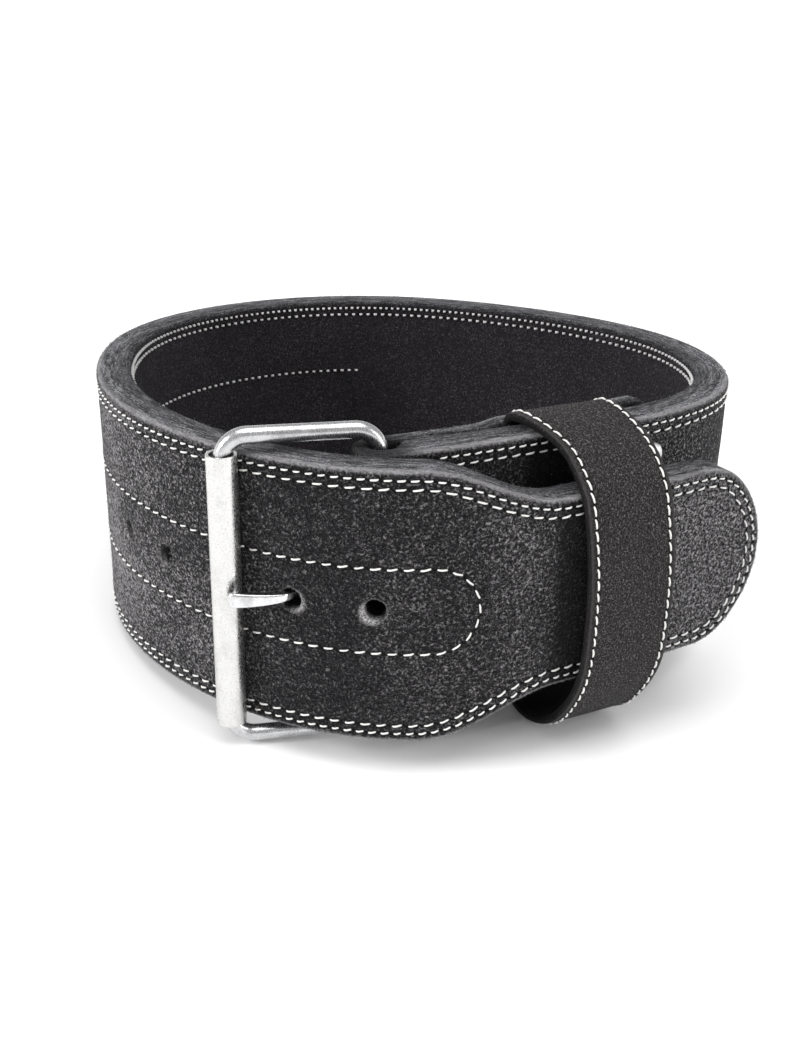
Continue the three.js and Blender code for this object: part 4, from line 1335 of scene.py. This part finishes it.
def along_strap(w, where, stops):
    """A value that changes slowly along the strap: (millimetres from the buckle, value) stops; it carries the strap's
    painted light and shade, and the nap's clumping.
    """
    place = w.tree.nodes.new("ShaderNodeSeparateXYZ")
    w.put(place.inputs[0], where)
    level = stops[0][1]
    for (start, _), (end, tone) in zip(stops[:-1], stops[1:]):
        here = w.ramp(place.outputs[0], ribbon_at(start) / 1000, ribbon_at(end) / 1000)
        level = w.blend(here, level, tone)
    return level


def suede_material(name, ground, tips, grain, clumping, waist_ground, waist_tips, edge_light, corner_light,
                   furrows, painted_light_and_shade=None):
    material, w, shader = new_material(name)
    where = w.attribute("laid_flat", "Vector")
    inset = w.attribute("edge_inset")
    through = w.attribute("through")
    gap = w.attribute("hole_gap")
    # painted light and shade along the strap, put into the nap's Lightness
    tone = along_strap(w, where, painted_light_and_shade) if painted_light_and_shade else 1.0
    face = w.use(NAP, Place=where, Ground=ground, Tips=tips, Grain_size=grain, Lightness=tone,
                 Clumping=along_strap(w, where, clumping) if painted_light_and_shade else clumping)
    waist = w.use(NAP, Place=where, Ground=waist_ground, Tips=waist_tips, Grain_size=grain * 0.7,
                  Clumping=0.4)
    edge = w.use(EDGE, Place=where, Light=edge_light, Lightness=w.ramp(through, 0.95, 0.1, 0.55, 1.25))
    is_waist = w.ramp(through, 0.35, 0.65)
    ragged = w.math("MULTIPLY", w.math("SUBTRACT", w.noise(where, 900.0, 4.0, 0.65), 0.5), 0.0030)
    on_edge = w.ramp(w.math("ADD", inset, ragged), 0.0017, 0.0007)
    corner = w.math("MULTIPLY", w.ramp(w.math("ADD", inset, ragged), 0.0024, 0.0013), on_edge)
    corner = w.math("MULTIPLY", w.math("MULTIPLY", corner, w.ramp(through, 0.2, 0.02)), corner_light)
    colour = w.mix(is_waist, face.outputs["Colour"], waist.outputs["Colour"])
    cut = edge.outputs["Colour"] if painted_light_and_shade else w.mix(0.72, colour, (0.004, 0.0038, 0.004, 1))
    colour = w.mix(on_edge, colour, cut)
    colour = w.mix(corner, colour, tips)
    rows = [w.use(FURROW, Distance=inset, Inset=line).outputs["Depth"] for line in furrows]
    if painted_light_and_shade:
        rows.append(w.use(FURROW, Distance=w.attribute("slot_line"), Inset=0.0).outputs["Depth"])
    furrow = rows[0]
    for row in rows[1:]:
        furrow = w.math("MAXIMUM", furrow, row)
    # painted shade in the stitch furrows: the colour darkens along each row
    colour = w.mix(w.math("MULTIPLY", furrow, 0.4), colour, (0.006, 0.006, 0.006, 1))
    # pale hole rims: raw leather all round, and a painted highlight on the lit side of the free hole and the prong
    # hole
    raw = w.noise(where, 1300.0, 3.0, 0.7, 0.5)
    rim = w.math("MULTIPLY", w.attribute("raw_rim"), w.ramp(through, 0.36, 0.2))
    rim = w.math("MULTIPLY", rim, w.ramp(raw, 0.38, 0.56, 0.15, 1.0))
    # painted shade: the hole walls go near black beyond the first part of their depth
    painted_hole_shade = w.math("MULTIPLY", w.ramp(gap, 0.0004, 0.0001), w.ramp(through, 0.04, 0.22))
    colour = w.mix(painted_hole_shade, colour, (0.004, 0.004, 0.0045, 1))
    colour = w.mix(rim, colour, (0.6, 0.59, 0.59, 1))
    if painted_light_and_shade:
        place = w.tree.nodes.new("ShaderNodeSeparateXYZ")
        w.put(place.inputs[0], where)
        # painted shade: the leather darkens round its fold over the pivot bar
        fold = w.math("ABSOLUTE", w.math("SUBTRACT", place.outputs[0], EYE_SLOT[0] / 1000))
        fold_shade = w.ramp(fold, 0.030, 0.018, 0.0, 0.85)
        colour = w.mix(fold_shade, colour, (0.007, 0.007, 0.0075, 1))
    w.put(shader.inputs["Base Color"], colour)
    shader.inputs["Roughness"].default_value = 0.92
    shader.inputs["Specular IOR Level"].default_value = 0.08
    shader.inputs["Sheen Weight"].default_value = 0.06
    shader.inputs["Sheen Roughness"].default_value = 0.5
    shader.inputs["Sheen Tint"].default_value = (0.6, 0.6, 0.64, 1)
    height = w.blend(is_waist, face.outputs["Height"], waist.outputs["Height"])
    height = w.blend(on_edge, height, w.math("MULTIPLY", edge.outputs["Height"], 0.5))
    height = w.math("SUBTRACT", w.math("MULTIPLY", height, 0.0022 * grain), w.math("MULTIPLY", furrow, 0.0004))
    bump = w.tree.nodes.new("ShaderNodeBump")
    bump.inputs["Strength"].default_value = 1.0
    bump.inputs["Distance"].default_value = 1.0
    w.put(bump.inputs["Height"], height)
    w.put(shader.inputs["Normal"], bump.outputs[0])
    return material


def steel_material(name, colour, rough, spread_rough, scratch, turning, stained=0.8):
    """Plated steel: fine scratches along it, faint stains, tiny dents."""
    material, w, shader = new_material(name)
    coordinates = w.tree.nodes.new("ShaderNodeTexCoord").outputs["Object"]
    fine = w.noise(w.vector("MULTIPLY", coordinates, turning), 2600.0, 3.0, 0.6)
    stain = w.noise(coordinates, 120.0, 4.0, 0.6)
    dents = w.noise(coordinates, 420.0, 2.0, 0.5)
    level = w.math("ADD", w.ramp(fine, 0.35, 0.65, -spread_rough, spread_rough), rough)
    level = w.math("ADD", level, w.ramp(stain, 0.45, 0.75, 0.0, 0.10))
    grain = w.noise(coordinates, 1500.0, 2.0, 0.7)
    marks = w.math("ADD", w.ramp(stain, 0.42, 0.70, 0.0, stained), w.ramp(grain, 0.5, 0.72, 0.0, 0.5))
    tone = w.mix(marks, (*colour, 1), (*(c * 0.62 for c in colour), 1))
    w.put(shader.inputs["Base Color"], tone)
    w.put(shader.inputs["Roughness"], level)
    shader.inputs["Metallic"].default_value = 1.0
    bump = w.tree.nodes.new("ShaderNodeBump")
    bump.inputs["Strength"].default_value = 1.0
    bump.inputs["Distance"].default_value = 1.0
    w.put(bump.inputs["Height"], w.math("ADD", w.math("MULTIPLY", fine, scratch), w.math("MULTIPLY", dents, 0.00006)))
    w.put(shader.inputs["Normal"], bump.outputs[0])
    return material


def thread_material(name, colour):
    material, w, shader = new_material(name)
    coordinates = w.tree.nodes.new("ShaderNodeTexCoord").outputs["Object"]
    fibre = w.noise(coordinates, 6000.0, 3.0, 0.6)
    w.put(shader.inputs["Base Color"], w.mix(w.ramp(fibre, 0.3, 0.7, 0.0, 0.5), (*colour, 1),
                                            (*(c * 0.7 for c in colour), 1)))
    shader.inputs["Roughness"].default_value = 0.7
    shader.inputs["Sheen Weight"].default_value = 0.2
    bump = w.tree.nodes.new("ShaderNodeBump")
    bump.inputs["Distance"].default_value = 1.0
    w.put(bump.inputs["Height"], w.math("MULTIPLY", fibre, 0.0001))
    w.put(shader.inputs["Normal"], bump.outputs[0])
    return material


def fibre_material():
    material, w, shader = new_material("leather fibre")
    coordinates = w.tree.nodes.new("ShaderNodeTexCoord").outputs["Object"]
    tone = w.ramp(w.noise(coordinates, 700.0, 2.0), 0.4, 0.62)
    w.put(shader.inputs["Base Color"], w.mix(tone, (0.03, 0.029, 0.031, 1), (0.3, 0.29, 0.295, 1)))
    shader.inputs["Roughness"].default_value = 0.85
    shader.inputs["Specular IOR Level"].default_value = 0.2
    return material


def pit_material():
    material, w, shader = new_material("needle hole shadow")
    coordinates = w.tree.nodes.new("ShaderNodeTexCoord").outputs["Object"]
    w.put(shader.inputs["Base Color"], w.mix(w.noise(coordinates, 1800.0), (0.004, 0.004, 0.004, 1),
                                            (0.012, 0.011, 0.011, 1)))
    shader.inputs["Roughness"].default_value = 1.0
    shader.inputs["Specular IOR Level"].default_value = 0.05
    return material


STRAP_SUEDE = suede_material(
    "napped black suede", (0.0055, 0.005, 0.0058, 1), (0.30, 0.29, 0.298, 1), 0.9,
    ((0, 0.45), (540, 0.45), (600, 0.6), (700, 0.6), (845, 0.45), (870, 0.2)),
    (0.013, 0.0115, 0.0133, 1), (0.11, 0.099, 0.11, 1), (0.28, 0.28, 0.293, 1), 0.6, (0.0033, 0.0064),
    # painted light and shade along the strap: dark under the keeper loop (60 to 99 mm) and beside it on the tongue
    # (831 to 848), lighter round 570 to 625 at the ring's far left and toward the tongue's tip, lower round 735
    ((0, 0.9), (52, 0.8), (60, 0.12), (99, 0.12), (106, 1.1), (200, 1.1), (520, 1.2), (570, 2.9), (625, 2.3),
     (655, 1.4), (700, 1.15), (735, 0.55), (790, 0.85), (815, 1.15), (824, 1.0), (831, 0.3), (848, 0.3),
     (856, 1.45), (880, 1.65), (915, 1.8)))
LOOP_SUEDE = suede_material(
    "fine black suede", (0.010, 0.0088, 0.0091, 1), (0.21, 0.199, 0.197, 1), 0.56, 0.1,
    (0.004, 0.0036, 0.004, 1), (0.015, 0.014, 0.015, 1), (0.03, 0.029, 0.03, 1), 0.15, (0.0026,))
WIRE_STEEL = steel_material("bright steel wire", (0.58, 0.58, 0.59), 0.24, 0.08, 0.00003, (1, 1, 0.2))
ROLLER_STEEL = steel_material("satin steel tube", (0.70, 0.695, 0.685), 0.27, 0.1, 0.00005, (1, 1, 0.5), 0.3)
PRONG_STEEL = steel_material("bright steel prong", (0.72, 0.72, 0.73), 0.16, 0.07, 0.00005, (0.3, 0.3, 1), 0.8)
RIVET_STEEL = steel_material("bright steel rivet", (0.76, 0.76, 0.77), 0.3, 0.05, 0.00002, (1, 1, 1))
THREAD = thread_material("white thread", (0.80, 0.79, 0.77))
BOBBIN = thread_material("dull white thread", (0.66, 0.65, 0.65))
PIT, FIBRE = pit_material(), fibre_material()


def dress(piece, material, replaces=(), body="belt"):
    piece.data.materials.clear()
    piece.data.materials.append(material)
    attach(piece, body)
    if replaces:
        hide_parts(*replaces)
    return piece


strap = dress(face_outward(build_strap()), STRAP_SUEDE, ["strap"])
loop = dress(face_outward(build_loop()), LOOP_SUEDE, ["keeper_loop"])
wire = dress(face_outward(build_frame()), WIRE_STEEL, ["buckle_frame"])
roller = dress(edged(face_outward(build_roller())), ROLLER_STEEL, ["roller"], "roller")
prong = build_prong()
prong.name = "prong_bar"
dress(edged(face_outward(prong)), PRONG_STEEL, ["prong"])
for rivet_name, (rivet_at, rivet_z) in RIVETS.items():
    rivet = build_rivet(rivet_name.replace("rivet", "rivet_head"), rivet_at, rivet_z)
    dress(edged(face_outward(rivet)), RIVET_STEEL, [rivet_name])

top_stitch = stitch_shape("top_stitch", 0.32, 1.0, 0.5, 3)
needle_hole = pit_shape()


def sized(places, length_share, thick):
    middles, threads, outs, lengths = places
    sizes = np.stack([lengths * length_share, np.full(len(lengths), thick), np.full(len(lengths), thick)], -1)
    return middles, threads, outs, sizes


def pits(places, long, wide):
    middles, threads, outs, lengths = between(places)
    return middles, threads, outs, np.tile((long, wide, 1.0), (len(lengths), 1))


outer_places, waist_places, loop_places = strap_stitches("outer"), strap_stitches("waist"), loop_stitches()
for name, places, share, thick, thread, slant in (
        ("stitches_outer_face", outer_places, 0.72, 1.0, THREAD, 0.14),
        ("stitches_waist_side", waist_places, 0.52, 1.6, BOBBIN, 0.0),
        ("stitches_keeper_loop", loop_places, 0.98, 1.05, THREAD, 0.12)):
    piece = sew(name, sized(places, share, thick), top_stitch, thread, turn_unevenness=0.06, slant=slant, seed=5)
    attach(piece, "belt")
# dark lenses of painted shadow in the needle holes between stitches
for name, places, long, wide in (("needle_holes_outer_face", outer_places, 1.15, 0.8),
                                 ("needle_holes_waist_side", waist_places, 0.7, 0.7),
                                 ("needle_holes_keeper_loop", loop_places, 0.8, 0.6)):
    piece = sew(name, pits(places, long, wide), needle_hole, PIT, size_unevenness=0.2, slant=-0.75, seed=9)
    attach(piece, "belt")
fibre = fibre_shape()
for name, places in (("fibres_outer_corners", corner_fibres(11000, 3)),
                     ("fibres_waist_corners", corner_fibres(3500, 4, True)),
                     ("fibres_outer_face", face_fibres(12000, 5)), ("fibres_hole_rims", rim_fibres(900, 6))):
    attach(sew(name, places, fibre, FIBRE, size_unevenness=0.2, turn_unevenness=0.5, seed=7), "belt")
for shape in (top_stitch, needle_hole, fibre):
    bpy.data.objects.remove(shape)


# Floor, light and camera

def build_floor():
    """A pale round floor, flat far past the belt, its border curved up a little."""
    flat, border, high, around = 3.0, 1.4, 0.75, 96
    rings = [(flat * k / 6, 0.0) for k in range(1, 7)]
    for t in np.linspace(0, 1, 13)[1:]:
        rings.append((flat + border * t, high * t * t))
    points = [(0.0, 0.0, 0.0)]
    for radius, z in rings:
        for a in 2 * math.pi * np.arange(around) / around:
            points.append((radius * math.cos(a), radius * math.sin(a), z))
    faces = [(0, 1 + k, 1 + (k + 1) % around) for k in range(around)]
    for i in range(len(rings) - 1):
        near, far = 1 + i * around, 1 + (i + 1) * around
        faces += [(near + k, far + k, far + (k + 1) % around, near + (k + 1) % around) for k in range(around)]
    mesh = bpy.data.meshes.new("floor")
    mesh.from_pydata(points, [], faces)
    mesh.shade_smooth()
    floor = bpy.data.objects.new("floor", mesh)
    bpy.context.scene.collection.objects.link(floor)
    material, w, shader = new_material("pale floor")
    shader.inputs["Base Color"].default_value = (0.95, 0.95, 0.95, 1)
    shader.inputs["Roughness"].default_value = 0.9
    shader.inputs["Specular IOR Level"].default_value = 0.1
    mesh.materials.append(material)
    return floor


def softbox(name, place, aim, size, power):
    light = bpy.data.lights.new(name, "AREA")
    light.shape, light.size, light.size_y, light.energy = "RECTANGLE", size[0], size[1], power
    lamp = bpy.data.objects.new(name, light)
    lamp.location = place
    lamp.rotation_mode = "QUATERNION"
    lamp.rotation_quaternion = (Vector(aim) - Vector(place)).to_track_quat("-Z", "Y")
    bpy.context.scene.collection.objects.link(lamp)
    return lamp


def sun(name, way, strength, spread_degrees):
    light = bpy.data.lights.new(name, "SUN")
    light.energy, light.angle = strength, math.radians(spread_degrees)
    lamp = bpy.data.objects.new(name, light)
    lamp.rotation_mode = "QUATERNION"
    lamp.rotation_quaternion = (-Vector(way)).to_track_quat("-Z", "Y")
    bpy.context.scene.collection.objects.link(lamp)
    return lamp


build_floor()
sun("left key", (-0.85, -0.32, 0.42), 2.4, 30)
sun("overhead", (0.1, -0.1, 1.0), 1.6, 50)
softbox("right strip", (1.2, -0.5, 0.5), (0, 0, 0.06), (0.25, 0.9), 5)

world = bpy.data.worlds.new("studio")
world.use_nodes = True
world.node_tree.nodes["Background"].inputs["Color"].default_value = (1, 1, 1, 1)
world.node_tree.nodes["Background"].inputs["Strength"].default_value = 0.6
bpy.context.scene.world = world
bpy.context.scene.view_settings.view_transform = "Standard"


def build_camera():
    """The photograph's view: 23 degrees down on the belt, rolled by one degree."""
    pitch, roll = math.radians(22.97), math.radians(1.0)
    forward = np.array([0, math.cos(pitch), -math.sin(pitch)])
    right = np.array([1.0, 0, 0])
    upward = np.cross(right, forward)
    side = math.cos(roll) * right + math.sin(roll) * upward
    above = -math.sin(roll) * right + math.cos(roll) * upward
    columns = [set_down_direction(v) for v in (side, above, -forward)]
    place = set_down(np.array([0, -383.8, 240.5]))
    data = bpy.data.cameras.new("camera")
    data.sensor_width, data.lens = 36.0, 1255.93 / 1040 * 36.0
    data.shift_y = -0.0008
    data.clip_start, data.clip_end = 0.01, 20
    camera = bpy.data.objects.new("camera", data)
    turn = Matrix(np.array(columns).T.tolist()).to_4x4()
    camera.matrix_world = Matrix.Translation(Vector(place)) @ turn
    bpy.context.scene.collection.objects.link(camera)
    bpy.context.scene.camera = camera


build_camera()
